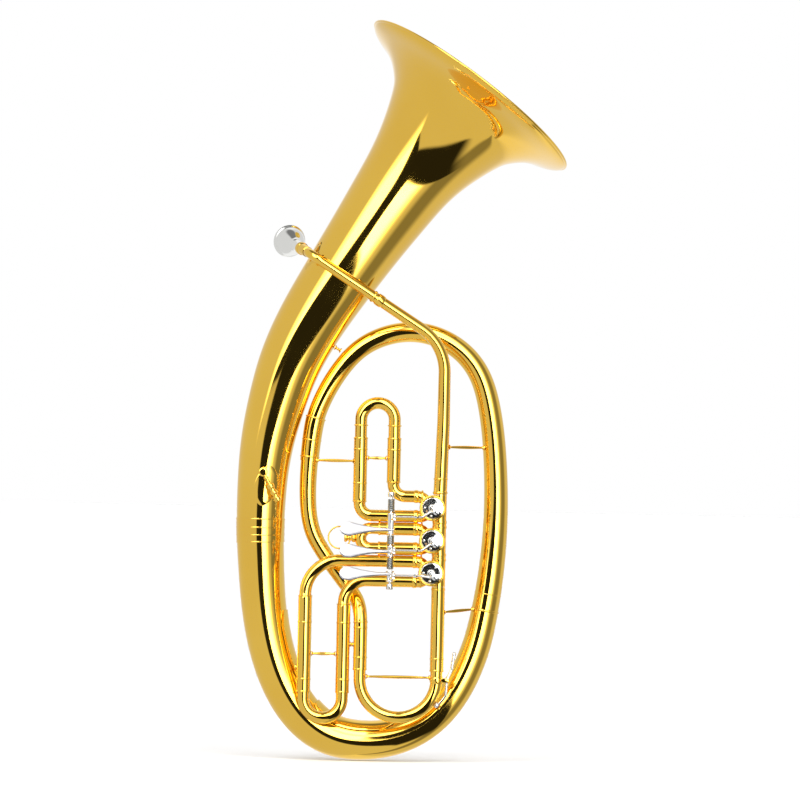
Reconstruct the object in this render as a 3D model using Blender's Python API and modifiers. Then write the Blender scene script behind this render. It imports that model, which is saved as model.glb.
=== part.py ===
"""An oval B-flat rotary euphonium: three rotary valves, four slides, bell, bows and mouthpiece.

The player's side faces +Y, the levers face -Y, and the bell opens towards +X and +Z.
The origin is on the bottom bow's guard plate, where the instrument rests on the player's leg.
Sizes are named in millimetres and turned into metres by at() and MM.
"""
import math

import bmesh
import bpy
from mathutils import Matrix, Vector

MM = 0.001
GAP = 0.3                      # clearance between pieces that touch
SHEET = 0.7                    # wall of the bell and the bows

# Cylindrical tubing: the outer sleeves and the slides that move in them.
SLEEVE_RADIUS = 8.0
SLEEVE_WALL = 0.55
SLIDE_RADIUS = 7.1
SLIDE_WALL = 0.6
PORT_RADIUS = 7.0              # tubing between a valve and its slide's sleeves
PORT_WALL = 0.55
SHORT_SLEEVE_RADIUS = 7.7      # the second slide, which lies level between two valves' tubing
SHORT_SLIDE_RADIUS = 6.8
SHORT_SLEEVE_WALL = 0.5
KNUCKLE_RADIUS = SLEEVE_RADIUS + 0.6
KNUCKLE_WALL = 1.4
COLLAR_LENGTH = 4
FIRST_BEND = 14.0
FIRST_SLIDE_END = 332.0
FIRST_BOW_START = 400.7
THIRD_BENDS = (40.0, 26.0)
THIRD_SLIDE_END = 180.0
THIRD_BOW_START = 74.2
TUNING_SLIDE_END = 152.0
TUNING_BOW_START = 98.7
KNOB_DRUMS = [(3.2, 0, 11), (5.6, 1.5, 4.0), (5.0, 10, 13.0)]   # radius, start and end
RING_PLACE = 6.8
TUBE_SIDES = 10

# The valves stand in one column. All horizontal tubing lies in the plane y = VALVE_Y.
VALVE_X = 72.6
VALVE_Y = -32.0
VALVE_TOP_Z = 298.8
VALVE_PITCH = 38.05
VALVE_HEIGHTS = [VALVE_TOP_Z - VALVE_PITCH * step for step in range(3)]
CASING_RADIUS = 14.65
CASING_BORE = 13.0
CASING_HALF_LENGTH = 16.0
ROTOR_RADIUS = CASING_BORE - GAP
PASSAGE_RADIUS = 4.6
MAIN_OFFSET = 8.6              # main tubing, to the right of the valve axis
ROTOR_FRONT = 12.3             # from the casing's middle to the rotor's front and back faces
ROTOR_BACK = 14.0
SPINDLE_REACH = 21.0
SPINDLE_RADIUS = 2.2
PLATE_CLEARANCE = 0.4
PLATE_RADIUS = 12.7
PLATE_THICKNESS = 3.0
LINK_HEAD_HALF = 1.0
PADDLE_THICKNESS = 1.8
PADDLE_FORWARD = 3.7
PORT_UP = 13.2                 # upper slide tube, above the valve axis
PORT_DOWN = 9.9                # lower slide tube, below the valve axis
STUB_HEIGHT = 15.5             # end of the main stubs, above and below the axis
STUB_LENGTH = 19.0             # end of the slide stubs, to the left of the axis
MAIN_X = VALVE_X + MAIN_OFFSET
STUB_X = VALVE_X - STUB_LENGTH

# The linkage: levers turn on an upright axle, links pull the stop arms, rotors turn 90 degrees.
AXLE_X = 24.5
AXLE_Y = -47.0
AXLE_RADIUS = 1.5
HUB_RADIUS = 4.7
LEVER_ARM = 20.0
CRANK_RADIUS = 6.0
CRANK_REACH = CRANK_RADIUS * math.sin(math.pi / 4)
LEVER_SWING = 2 * math.asin(CRANK_REACH / LEVER_ARM)
LINK_Y = AXLE_Y - LEVER_ARM * math.cos(LEVER_SWING / 2)
PIN_X = VALVE_X + CRANK_REACH
LINK_HEIGHTS = [288.5, 249.5, 220.0]
PADDLE_HEIGHTS = [273.1, 247.6, 221.2]
HUB_SPANS = [(268.0, 292.0), (241.5, 254.0), (212.0, 225.0)]
SPRING_SPANS = [(293.5, 309.0), (255.5, 266.5), (226.5, 240.0)]
PADDLE_SLANT = math.radians(18)

# Slide legs: left and right x of each pair, and where their sleeves end.
FIRST_LEGS = (-12.6, 26.5)
FIRST_SLEEVE_END = 380.0
THIRD_LEGS = (-73.6, -28.5)
THIRD_SLEEVE_END = 81.0
TUNING_LEGS = (-8.4, MAIN_X)
TUNING_SLEEVE_END = 108.0
TUNING_SLEEVE_TOP = 157.2
SECOND_SLEEVE_END = 10.0

# The conical tubing as stations, from the bell's rim inwards: x, y, z and outer radius.
CONE_STATIONS = [
    (107.6, 33.0, 784.0, 140.0), (76.7, 25.5, 741.7, 67.9), (45.8, 18.2, 699.2, 57.2),
    (14.2, 10.8, 652.0, 50.6), (-12.8, 4.4, 611.2, 46.2), (-44.0, 0.6, 563.1, 42.6),
    (-73.4, 0.0, 515.7, 39.7), (-96.7, 0.0, 468.4, 36.8), (-111.2, 0.0, 421.3, 34.0),
    (-121.9, 0.0, 374.3, 31.4), (-126.9, 0.0, 327.4, 29.2),
    (-128.2, 0.0, 269.0, 28.0),
    (-126.6, 0.0, 233.7, 27.2), (-123.1, 0.0, 187.0, 26.4), (-115.5, 0.0, 140.3, 25.7),
    (-100.3, 0.0, 93.9, 25.2), (-75.0, 0.0, 53.4, 24.5), (-42.0, 0.0, 29.8, 23.7),
    (-3.0, 0.0, 24.1, 22.3), (37.0, 0.0, 29.8, 20.7), (73.0, 0.0, 48.3, 19.4),
    (103.0, 0.0, 82.0, 18.3), (126.0, 0.0, 132.0, 17.0),
    (136.5, 0.0, 180.3, 15.9),
    (143.4, 0.0, 228.0, 15.1), (147.2, 0.0, 290.0, 14.3), (145.4, 0.0, 350.0, 13.7),
    (140.0, 0.0, 402.0, 13.3), (127.2, 0.0, 453.1, 12.7), (101.0, 0.0, 485.5, 12.2),
    (62.0, 0.0, 503.4, 11.9), (22.0, 0.0, 502.3, 11.7), (-17.0, 0.0, 484.0, 11.3),
    (-45.1, 0.0, 448.8, 11.1), (-61.5, 0.0, 416.0, 10.9),
    (-68.3, 0.0, 392.2, 10.7),
    (-73.2, 0.0, 340.0, 10.1), (-73.0, -0.5, 297.0, 9.7), (-66.5, -2.5, 266.0, 9.4),
    (-52.5, -6.0, 242.5, 9.2), (-35.5, -10.0, 219.5, 9.0), (-22.0, -13.5, 202.0, 8.8),
    (-12.6, -21.5, 189.0, 8.4), (-8.9, -30.8, 172.5, 8.1), (-8.4, -32.0, 158.4, 8.0)]
BELL_FLARE = [                 # depth below the rim and outer radius
    (0.0, 140.0), (4.5, 138.2), (9.0, 130.5), (14.0, 116.0), (19.0, 105.8), (25.0, 97.0),
    (35.0, 86.6), (47.0, 77.6)]
FLARE_END = 1                  # stations at which one piece of the conical tubing ends
BELL_END = 11
BOW_END = 23
LOOP_END = 35
BRANCH_END = 44
FERRULE_CLEARANCE = 0.8
GUARD_SPAN = (16, 19)          # stations between which the guard plate lies
GUARD_THICKNESS = 1.2
GUARD_HALF_ANGLE = math.radians(56)

# Leadpipe corners from the first valve to the receiver, with the bend radius at each corner.
LEADPIPE_CORNERS = [
    (MAIN_X, VALVE_Y, VALVE_TOP_Z + STUB_HEIGHT + GAP), (83.5, -33.0, 400.0),
    (83.5, -34.0, 490.0), (-74.2, -66.9, 591.4)]
LEADPIPE_BENDS = [200.0, 60.0, 16.0]
LEADPIPE_END = (-78.9, -53.2, 594.3)
LEADPIPE_RADIUS_AT_VALVE = 8.0
LEADPIPE_RADIUS_AT_RECEIVER = 5.6
RECEIVER_DIRECTION = Vector((-0.321, 0.927, 0.193)).normalized()
RECEIVER_LENGTH = 25.0
MOUTHPIECE_EXPOSED = 47.0      # from the receiver's end to the rim's face
SHANK_LENGTH = 22.0            # shank inside the receiver
PAD_ANGLE = math.radians(33)   # the water key's pad, round the tuning slide's bow
WATER_KEY_PIVOT = (93.6, VALVE_Y - 2, 98.0)

GOLD = ("lacquered_brass", (0.83, 0.56, 0.20), 0.12, 1.0)
SILVER = ("nickel_silver", (0.80, 0.80, 0.77), 0.18, 1.0)
PLATED = ("silver_plate", (0.86, 0.86, 0.84), 0.12, 1.0)
STEEL = ("spring_steel", (0.45, 0.45, 0.44), 0.30, 1.0)


def at(x, y, z):
    """A point given in millimetres, in metres."""
    return Vector((x, y, z)) * MM


def reset():
    """Empties the file and makes the collections for the parts and the cutters."""
    for old in list(bpy.data.objects):
        bpy.data.objects.remove(old, do_unlink=True)
    groups = []
    for name in ("euphonium", "cutters"):
        group = bpy.data.collections.new(name)
        bpy.context.scene.collection.children.link(group)
        groups.append(group)
    return groups


PARTS, CUTTERS = reset()


def finish_material(finish):
    """The Principled material for one finish, made the first time it is asked for."""
    name, colour, roughness, metallic = finish
    made = bpy.data.materials.get(name)
    if made is None:
        made = bpy.data.materials.new(name)
        made.use_nodes = True
        shader = made.node_tree.nodes["Principled BSDF"]
        shader.inputs["Base Color"].default_value = (*colour, 1.0)
        shader.inputs["Roughness"].default_value = roughness
        shader.inputs["Metallic"].default_value = metallic
    return made


def own_material(name, finish):
    """A material of its own for one part, from its finish."""
    made = finish_material(finish).copy()
    made.name = f"{name}_{finish[0]}"
    return made


def add_part(name, data, finish):
    """Puts mesh or curve data in the parts collection under the node's name."""
    part = bpy.data.objects.new(name, data)
    data.materials.append(own_material(name, finish))
    PARTS.objects.link(part)
    return part


def add_helper(name, data):
    """Puts data in the cutters collection, hidden from renders."""
    helper = bpy.data.objects.new(name, data)
    helper.hide_render = True
    helper.display_type = "WIRE"
    CUTTERS.objects.link(helper)
    return helper


def smooth_shading(mesh, angle=35):
    """Shades a mesh smooth, with sharp edges past the angle in degrees."""
    mesh.shade_smooth()
    mesh.set_sharp_from_angle(angle=math.radians(angle))


def aim(direction):
    """The rotation that turns +Z to a direction."""
    return direction.to_track_quat("Z", "Y").to_matrix().to_4x4()


# ---- shapes -----------------------------------------------------------------------------------

def tube_curve(name, points, radii, sides, capped):
    """Curve data for a round tube through points, with a radius in metres at each."""
    curve = bpy.data.curves.new(name, "CURVE")
    curve.dimensions = "3D"
    curve.bevel_depth = 1.0
    curve.bevel_resolution = (sides - 4) // 2
    curve.use_fill_caps = capped
    spline = curve.splines.new("POLY")
    spline.points.add(len(points) - 1)
    for point, place, radius in zip(spline.points, points, radii):
        point.co = (*place, 1.0)
        point.radius = radius
    spline.use_smooth = True
    return curve


def pipe(name, finish, points, radius, wall, sides=TUBE_SIDES):
    """A hollow tube, open at both ends. The radius is one number or one for each point, in mm."""
    radii = radius if isinstance(radius, list) else [radius] * len(points)
    curve = tube_curve(name, points, [r * MM for r in radii], sides, capped=False)
    part = add_part(name, curve, finish)
    skin = part.modifiers.new("wall", "SOLIDIFY")
    skin.thickness = wall * MM
    skin.offset = -1
    return part


def rod(name, finish, points, radius, sides=8):
    """A solid round bar through points."""
    radii = [radius * MM] * len(points)
    return add_part(name, tube_curve(name, points, radii, sides, capped=True), finish)


def bar_mesh(name, points, radius, sides=TUBE_SIDES):
    """The mesh of a solid round bar through points, with its caps welded on."""
    radii = [radius * MM] * len(points)
    curve = tube_curve(name, points, radii, sides, capped=True)
    carrier = bpy.data.objects.new(name, curve)
    CUTTERS.objects.link(carrier)
    bpy.context.view_layer.update()
    evaluated = carrier.evaluated_get(bpy.context.evaluated_depsgraph_get())
    mesh = bpy.data.meshes.new_from_object(evaluated)
    bpy.data.objects.remove(carrier, do_unlink=True)
    work = bmesh.new()
    work.from_mesh(mesh)
    bmesh.ops.remove_doubles(work, verts=work.verts, dist=0.00001)
    bmesh.ops.recalc_face_normals(work, faces=work.faces)
    work.to_mesh(mesh)
    work.free()
    return mesh


def drum_mesh(name, radius, start, end, sides=24):
    """The mesh of a solid cylinder between two points, its radius in mm."""
    axis = end - start
    work = bmesh.new()
    bmesh.ops.create_cone(work, cap_ends=True, segments=sides, radius1=radius * MM,
                          radius2=radius * MM, depth=axis.length)
    bmesh.ops.transform(work, matrix=Matrix.Translation((start + end) / 2) @ aim(axis),
                        verts=work.verts)
    mesh = bpy.data.meshes.new(name)
    work.to_mesh(mesh)
    work.free()
    return mesh


def block_mesh(name, centre, size, turn=None):
    """The mesh of a box of a size in mm about a centre, turned by a matrix."""
    work = bmesh.new()
    bmesh.ops.create_cube(work, size=1.0)
    stretch = Matrix.Diagonal((size[0] * MM, size[1] * MM, size[2] * MM, 1.0))
    placed = Matrix.Translation(centre) @ (turn or Matrix.Identity(4)) @ stretch
    bmesh.ops.transform(work, matrix=placed, verts=work.verts)
    mesh = bpy.data.meshes.new(name)
    work.to_mesh(mesh)
    work.free()
    return mesh


def turned(name, finish, outline, base, direction, sides=20):
    """A turned piece: an outline of (radius, height) in mm, about a line from base.

    The outline runs down the outer side. One that starts and ends on the axis makes a solid,
    and one that returns to its start makes a ring.
    """
    mesh = bpy.data.meshes.new(name)
    work = bmesh.new()
    closed = outline[0] == outline[-1]
    corners = outline[:-1] if closed else outline
    verts = [work.verts.new((radius * MM, 0.0, height * MM)) for radius, height in corners]
    pairs = list(zip(verts, verts[1:]))
    if closed:
        pairs.append((verts[-1], verts[0]))
    for pair in pairs:
        work.edges.new(pair)
    work.to_mesh(mesh)
    work.free()
    part = add_part(name, mesh, finish)
    part.matrix_world = Matrix.Translation(base) @ aim(direction)
    spin = part.modifiers.new("turn", "SCREW")
    spin.steps = sides
    spin.render_steps = sides
    spin.use_merge_vertices = True
    spin.merge_threshold = 0.00001
    spin.use_smooth_shade = True
    return part


def combine(part, mesh, operation):
    """Adds a Boolean modifier that joins a mesh to a part or cuts it away."""
    helper = add_helper(f"{part.name}_{operation.lower()}_{len(part.modifiers)}", mesh)
    step = part.modifiers.new(operation.lower(), "BOOLEAN")
    step.operation = operation
    step.object = helper
    step.solver = "EXACT"


def built_part(name, finish, first, joined=(), cut=()):
    """A part made of a first mesh, with others joined to it and then others cut from it."""
    part = add_part(name, first, finish)
    for mesh in joined:
        combine(part, mesh, "UNION")
    for mesh in cut:
        combine(part, mesh, "DIFFERENCE")
    return part


# ---- paths ------------------------------------------------------------------------------------

def smooth_path(stations, steps):
    """Places and radii along a smooth curve through stations, with steps to each stretch."""
    knots = [Vector(station) for station in stations]
    spans = [(b - a).to_3d().length for a, b in zip(knots, knots[1:])]
    slopes = [(knots[1] - knots[0]) / spans[0]]
    for index in range(1, len(knots) - 1):
        reach = spans[index - 1] + spans[index]
        slopes.append((knots[index + 1] - knots[index - 1]) / reach)
    slopes.append((knots[-1] - knots[-2]) / spans[-1])
    run = []
    for index, span in enumerate(spans):
        for step in range(steps):
            t = step / steps
            run.append(knots[index] * (2 * t ** 3 - 3 * t ** 2 + 1)
                       + slopes[index] * span * (t ** 3 - 2 * t ** 2 + t)
                       + knots[index + 1] * (3 * t ** 2 - 2 * t ** 3)
                       + slopes[index + 1] * span * (t ** 3 - t ** 2))
    run.append(knots[-1])
    return [knot.to_3d() * MM for knot in run], [knot[3] for knot in run]


def bent_path(corners, bends, steps=5):
    """Points along straight runs between corners, with a round bend at each inner corner."""
    bends = bends if isinstance(bends, list) else [bends] * (len(corners) - 2)
    points = [corners[0]]
    for before, corner, after, bend in zip(corners, corners[1:], corners[2:], bends):
        back = (before - corner).normalized()
        ahead = (after - corner).normalized()
        turn = math.pi - back.angle(ahead)
        start = corner + back * bend * MM * math.tan(turn / 2)
        centre = corner + (back + ahead).normalized() * bend * MM / math.cos(turn / 2)
        axis = ahead.cross(back)
        for step in range(steps + 1):
            swing = Matrix.Rotation(turn * step / steps, 3, axis)
            points.append(centre + swing @ (start - centre))
    points.append(corners[-1])
    return points


def radii_along(points, first, last):
    """Radii that taper evenly from the first point to the last."""
    lengths = [0.0]
    for a, b in zip(points, points[1:]):
        lengths.append(lengths[-1] + (b - a).length)
    return [first + (last - first) * length / lengths[-1] for length in lengths]


def u_path(left, right, open_end, bend_start, steps=7):
    """A U from the left leg's open end round to the right leg's, in the plane of the valves."""
    middle = (left + right) / 2
    radius = (right - left) / 2
    way = 1 if bend_start > open_end else -1
    points = [at(left, VALVE_Y, open_end)]
    for step in range(steps + 1):
        angle = math.pi * (1 - step / steps)
        points.append(at(middle + radius * math.cos(angle), VALVE_Y,
                         bend_start + way * radius * math.sin(angle)))
    points.append(at(right, VALVE_Y, open_end))
    return points


# ---- bell, bows and branch --------------------------------------------------------------------

def way_through(station):
    """The direction of the conical tubing at a station, from its neighbours."""
    before = CONE_STATIONS[max(station - 1, 0)]
    after = CONE_STATIONS[min(station + 1, len(CONE_STATIONS) - 1)]
    return (at(*after[:3]) - at(*before[:3])).normalized()


def cone_run(first, last, steps):
    """Places and radii of the conical tubing between two stations.

    Both ends stop short of their joints and are square to the tubing there.
    """
    places, radii = smooth_path(CONE_STATIONS, steps)
    places = places[first * steps:last * steps + 1]
    radii = radii[first * steps:last * steps + 1]
    start, end = places[0], places[-1]
    start_way, end_way = way_through(first), way_through(last)
    square = GAP + 3.0
    places = ([start + start_way * GAP * MM, start + start_way * square * MM] + places[1:-1]
              + [end - end_way * square * MM, end - end_way * GAP * MM])
    return places, [radii[0], radii[0]] + radii[1:-1] + [radii[-1], radii[-1]]


def make_bell():
    """The flare follows its own profile near the rim, and the stations from there on."""
    rim = at(*CONE_STATIONS[0][:3])
    inward = (at(*CONE_STATIONS[FLARE_END][:3]) - rim).normalized()
    places = [rim + inward * depth * MM for depth, radius in BELL_FLARE]
    radii = [radius for depth, radius in BELL_FLARE]
    tail_places, tail_radii = cone_run(FLARE_END, BELL_END, 1)
    pipe("bell", GOLD, places + tail_places[2:], radii + tail_radii[2:], SHEET, sides=20)


def make_ferrule(name, joint, steps, sides):
    """A sleeve over the joint at a station, where two pieces of the conical tubing meet."""
    places, radii = smooth_path(CONE_STATIONS, steps)
    near = slice(joint * steps - 1, joint * steps + 3)
    widths = [radius + FERRULE_CLEARANCE + SHEET for radius in radii[near]]
    pipe(name, GOLD, places[near], widths, SHEET, sides=sides)


def make_guard():
    """A curved plate over the outer side of the bottom bow."""
    places, radii = cone_run(*GUARD_SPAN, 3)
    columns = 6
    across = Vector((0.0, 1.0, 0.0))
    work = bmesh.new()
    rows = []
    for index, (place, radius) in enumerate(zip(places, radii)):
        ahead = places[min(index + 1, len(places) - 1)] - places[max(index - 1, 0)]
        outward = ahead.cross(across).normalized()
        reach = (radius + FERRULE_CLEARANCE) * MM
        row = []
        for column in range(columns + 1):
            angle = GUARD_HALF_ANGLE * (2 * column / columns - 1)
            spread = outward * math.cos(angle) + across * math.sin(angle)
            row.append(work.verts.new(place + spread * reach))
        rows.append(row)
    for row, next_row in zip(rows, rows[1:]):
        for corners in zip(row, row[1:], next_row[1:], next_row):
            work.faces.new(corners)
    mesh = bpy.data.meshes.new("bow_guard")
    work.to_mesh(mesh)
    work.free()
    smooth_shading(mesh)
    part = add_part("bow_guard", mesh, GOLD)
    plate = part.modifiers.new("plate", "SOLIDIFY")
    plate.thickness = GUARD_THICKNESS * MM
    plate.offset = -1


def make_cone_tubing():
    make_bell()
    for name, first, last, sides in (("bottom_bow", BELL_END, BOW_END, 12),
                                     ("upper_bow", BOW_END, LOOP_END, 10),
                                     ("inner_branch", LOOP_END, BRANCH_END, 10)):
        places, radii = cone_run(first, last, 2)
        pipe(name, GOLD, places, radii, SHEET, sides=sides)
    make_ferrule("bell_ferrule", BELL_END, 4, 20)
    make_ferrule("loop_ferrule", LOOP_END, 3, 16)
    make_guard()


# ---- valves -----------------------------------------------------------------------------------

def port_path(height, side, start, end):
    """From inside a valve out to its left along a diagonal, then level at the slide's height."""
    corner = abs(side)
    way = 1 if side > 0 else -1
    inner = at(VALVE_X - start, VALVE_Y, height + way * start)
    bend = at(VALVE_X - corner, VALVE_Y, height + side)
    return bent_path([inner, bend, at(VALVE_X - end, VALVE_Y, height + side)], 12.0, steps=2)


def passage_path(height, side):
    """One curved passage through a rotor, from the port above to the port below."""
    centre_x = VALVE_X + side * ROTOR_RADIUS * math.sqrt(2)
    half = ROTOR_RADIUS / math.sqrt(2)
    beyond = 3.0
    points = [at(VALVE_X + side * (half + beyond), VALVE_Y, height + half + beyond)]
    for step in range(7):
        angle = math.radians(45 - 15 * step)
        points.append(at(centre_x - side * ROTOR_RADIUS * math.cos(angle), VALVE_Y,
                         height + ROTOR_RADIUS * math.sin(angle)))
    points.append(at(VALVE_X + side * (half + beyond), VALVE_Y, height - half - beyond))
    return points


def make_casing(name, height):
    """A valve casing with its main stubs, its slide stubs and their bores."""
    front = at(VALVE_X, VALVE_Y - CASING_HALF_LENGTH, height)
    back = at(VALVE_X, VALVE_Y + CASING_HALF_LENGTH, height)
    past = at(0, 2, 0)
    above = at(MAIN_X, VALVE_Y, height + STUB_HEIGHT)
    below = at(MAIN_X, VALVE_Y, height - STUB_HEIGHT)
    rise = at(0, 0, 2)
    main_bore = SLEEVE_RADIUS - 1.0
    port_bore = PORT_RADIUS - PORT_WALL
    joined = [
        drum_mesh(name, SLEEVE_RADIUS, below, above, TUBE_SIDES),
        bar_mesh(name, port_path(height, PORT_UP, 6.0, STUB_LENGTH), PORT_RADIUS),
        bar_mesh(name, port_path(height, -PORT_DOWN, 5.0, STUB_LENGTH), PORT_RADIUS)]
    cut = [
        drum_mesh(name, CASING_BORE, front - past, back + past, 20),
        drum_mesh(name, main_bore, below - rise, above + rise, TUBE_SIDES),
        bar_mesh(name, port_path(height, PORT_UP, 4.0, STUB_LENGTH + 2), port_bore),
        bar_mesh(name, port_path(height, -PORT_DOWN, 4.0, STUB_LENGTH + 2), port_bore)]
    built_part(name, GOLD, drum_mesh(name, CASING_RADIUS, front, back, 20), joined, cut)


def make_rotor(name, height):
    """A rotor with two curved passages and the spindle that carries its stop arm."""
    front = at(VALVE_X, VALVE_Y - ROTOR_FRONT, height)
    back = at(VALVE_X, VALVE_Y + ROTOR_BACK, height)
    spindle_end = at(VALVE_X, VALVE_Y - SPINDLE_REACH, height)
    inside = at(0, 2, 0)
    built_part(
        name, GOLD, drum_mesh(name, ROTOR_RADIUS, front, back, 20),
        [drum_mesh(name, SPINDLE_RADIUS, spindle_end, back - inside, 12)],
        [bar_mesh(name, passage_path(height, side), PASSAGE_RADIUS, 8) for side in (-1, 1)])


def make_bearing_plate(name, height):
    """The plate in the casing's front that the rotor's spindle turns in."""
    hole = SPINDLE_RADIUS + GAP
    outline = [(hole, PLATE_THICKNESS), (PLATE_RADIUS, PLATE_THICKNESS), (PLATE_RADIUS, 0.0),
               (hole, 0.0), (hole, PLATE_THICKNESS)]
    back = at(VALVE_X, VALVE_Y - ROTOR_FRONT - PLATE_CLEARANCE, height)
    turned(name, SILVER, outline, back, Vector((0, -1, 0)), 20)


def make_valve_cap(name, height):
    """The screwed cap behind a casing."""
    button_radius, height_at_button = 4, 9
    edge_radius, height_at_edge = 15.4, 5
    flat_radius, height_at_flat = 14, 6.5
    outline = [(0, height_at_button), (button_radius, height_at_button),
               (button_radius, height_at_flat), (flat_radius, height_at_flat),
               (edge_radius, height_at_edge), (edge_radius, 0), (0, 0)]
    turned(name, GOLD, outline, at(VALVE_X, VALVE_Y + CASING_HALF_LENGTH + GAP, height),
           Vector((0, 1, 0)), 16)


def make_stop_arm(name, height):
    """The arm on the spindle's end, with the pin that its link pulls."""
    hub_radius, boss_radius, pin_radius = 4.6, 3.0, 1.6
    back_y = VALVE_Y - SPINDLE_REACH - GAP
    hub = at(VALVE_X, back_y, height)
    boss = at(PIN_X, back_y, height - CRANK_REACH)
    depth = at(0, -3, 0)
    step = at(0, -0.2, 0)
    pin_end = at(PIN_X, LINK_Y + LINK_HEAD_HALF + GAP, height - CRANK_REACH)
    built_part(
        name, SILVER, drum_mesh(name, hub_radius, hub + depth, hub, 16),
        [drum_mesh(name, boss_radius, boss + depth * 1.1, boss + step, 12),
         drum_mesh(name, pin_radius, pin_end, boss + depth / 2, 8)])


def make_link(name, height, link_height):
    """A bent rod from a lever's pin to a stop arm's pin."""
    eye = at(AXLE_X + CRANK_REACH, LINK_Y, link_height)
    head = at(PIN_X, LINK_Y, height - CRANK_REACH)
    eye_radius, eye_bore, rod_radius, head_radius, knee_bend = 2.9, 1.5, 1.1, 3.4, 4.0
    half_eye = at(0, 0, 1.5)
    half_head = at(0, LINK_HEAD_HALF, 0)
    first_knee = at(PIN_X - 16, LINK_Y, link_height)
    second_knee = at(PIN_X - 6, LINK_Y, height - CRANK_REACH)
    run = [eye + at(2, 0, 0), first_knee, second_knee, head]
    built_part(
        name, SILVER, drum_mesh(name, eye_radius, eye - half_eye, eye + half_eye, 12),
        [bar_mesh(name, bent_path(run, knee_bend, 2), rod_radius, 6),
         drum_mesh(name, head_radius, head - half_head, head + half_head, 12)],
        [drum_mesh(name, eye_bore, eye - half_eye * 2, eye + half_eye * 2, 12)])


def paddle_outline():
    """The teardrop outline of a finger paddle: distance from the axle and half height, in mm."""
    neck, belly, tip_radius = 3.0, 50.0, 9.0
    neck_half, belly_growth, growth_power = 1.9, 6.16, 1.6
    tip_centre = belly + 4.0
    tip_sweep = 116.4
    upper = [(-5.0, neck_half), (neck, neck_half)]
    for step in range(1, 6):
        along = step / 5
        upper.append((neck + (belly - neck) * along,
                      neck_half + belly_growth * along ** growth_power))
    for step in range(1, 9):
        angle = math.radians(tip_sweep - tip_sweep * step / 8)
        upper.append((tip_centre + tip_radius * math.cos(angle), tip_radius * math.sin(angle)))
    lower = [(along, -half) for along, half in reversed(upper[:-1])]
    return upper + lower


def paddle_mesh(name, height):
    """The teardrop plate: a flat outline, thickened, slanted away from the tubing."""
    curve = bpy.data.curves.new(name, "CURVE")
    curve.dimensions = "2D"
    curve.fill_mode = "BOTH"
    curve.extrude = PADDLE_THICKNESS / 2 * MM
    outline = paddle_outline()
    spline = curve.splines.new("POLY")
    spline.points.add(len(outline) - 1)
    spline.use_cyclic_u = True
    for point, (along, half) in zip(spline.points, outline):
        point.co = (-along * MM, half * MM, 0.0, 1.0)
    carrier = bpy.data.objects.new(name, curve)
    CUTTERS.objects.link(carrier)
    bpy.context.view_layer.update()
    evaluated = carrier.evaluated_get(bpy.context.evaluated_depsgraph_get())
    mesh = bpy.data.meshes.new_from_object(evaluated)
    bpy.data.objects.remove(carrier, do_unlink=True)
    upright = Matrix.Rotation(math.pi / 2, 4, "X")
    slant = Matrix.Rotation(PADDLE_SLANT, 4, "Z")
    forward = Matrix.Translation(at(0, -PADDLE_FORWARD, 0))
    mesh.transform(Matrix.Translation(at(AXLE_X, AXLE_Y, height)) @ slant @ forward @ upright)
    work = bmesh.new()
    work.from_mesh(mesh)
    bmesh.ops.remove_doubles(work, verts=work.verts, dist=0.00001)
    bmesh.ops.recalc_face_normals(work, faces=work.faces)
    work.to_mesh(mesh)
    work.free()
    return mesh


def make_lever(name, span, paddle_height, link_height):
    """A hub on the axle with its finger paddle and the short arm that carries the link."""
    low = at(AXLE_X, AXLE_Y, span[0])
    high = at(AXLE_X, AXLE_Y, span[1])
    rise = at(0, 0, 1)
    pin = at(AXLE_X + CRANK_REACH, LINK_Y, link_height)
    arm_size = (4.0, 18.0, 3.0)
    arm_height = link_height - 3.4
    pin_radius = 1.0
    foot = at(AXLE_X, AXLE_Y, arm_height)
    tip = at(AXLE_X + CRANK_REACH, LINK_Y, arm_height)
    along = (tip - foot).normalized()
    centre = foot + along * 12.0 * MM
    turn = Matrix.Rotation(LEVER_SWING / 2, 4, "Z")
    built_part(
        name, SILVER, drum_mesh(name, HUB_RADIUS, low, high, 16),
        [paddle_mesh(name, paddle_height),
         block_mesh(name, centre, arm_size, turn),
         drum_mesh(name, pin_radius, tip, pin + rise * 2.2, 8)],
        [drum_mesh(name, AXLE_RADIUS + GAP, low - rise * 8, high + rise * 8, 12)])


def make_lever_rack():
    """The axle with its two posts, which stand on the tubing."""
    top, bottom = 317.0, 203.0
    post_radius, top_post, bottom_post = 4.2, at(0, 0, 6), at(0, 0, 7)
    foot_size = (6, 6.8, 5)
    foot_y = AXLE_Y + 2.9
    low = at(AXLE_X, AXLE_Y, bottom)
    high = at(AXLE_X, AXLE_Y, top)
    built_part(
        "lever_rack", SILVER, drum_mesh("lever_rack", AXLE_RADIUS, low, high, 12),
        [drum_mesh("lever_rack", post_radius, high - top_post, high, 16),
         drum_mesh("lever_rack", post_radius, low, low + bottom_post, 16),
         block_mesh("lever_rack", at(AXLE_X, foot_y, top - 3), foot_size),
         block_mesh("lever_rack", at(AXLE_X, foot_y, bottom + 4), foot_size)])


def make_lever_spring(name, span):
    """A coil spring round the axle, between two lever hubs."""
    low, high = span
    coil_radius, wire_radius = 3.6, 0.5
    turns, per_turn = 5, 6
    points = []
    for step in range(turns * per_turn + 1):
        angle = 2 * math.pi * step / per_turn
        rise = low + wire_radius + (high - low - 2 * wire_radius) * step / (turns * per_turn)
        points.append(at(AXLE_X + coil_radius * math.cos(angle),
                         AXLE_Y + coil_radius * math.sin(angle), rise))
    rod(name, STEEL, points, wire_radius, sides=4)


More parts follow.
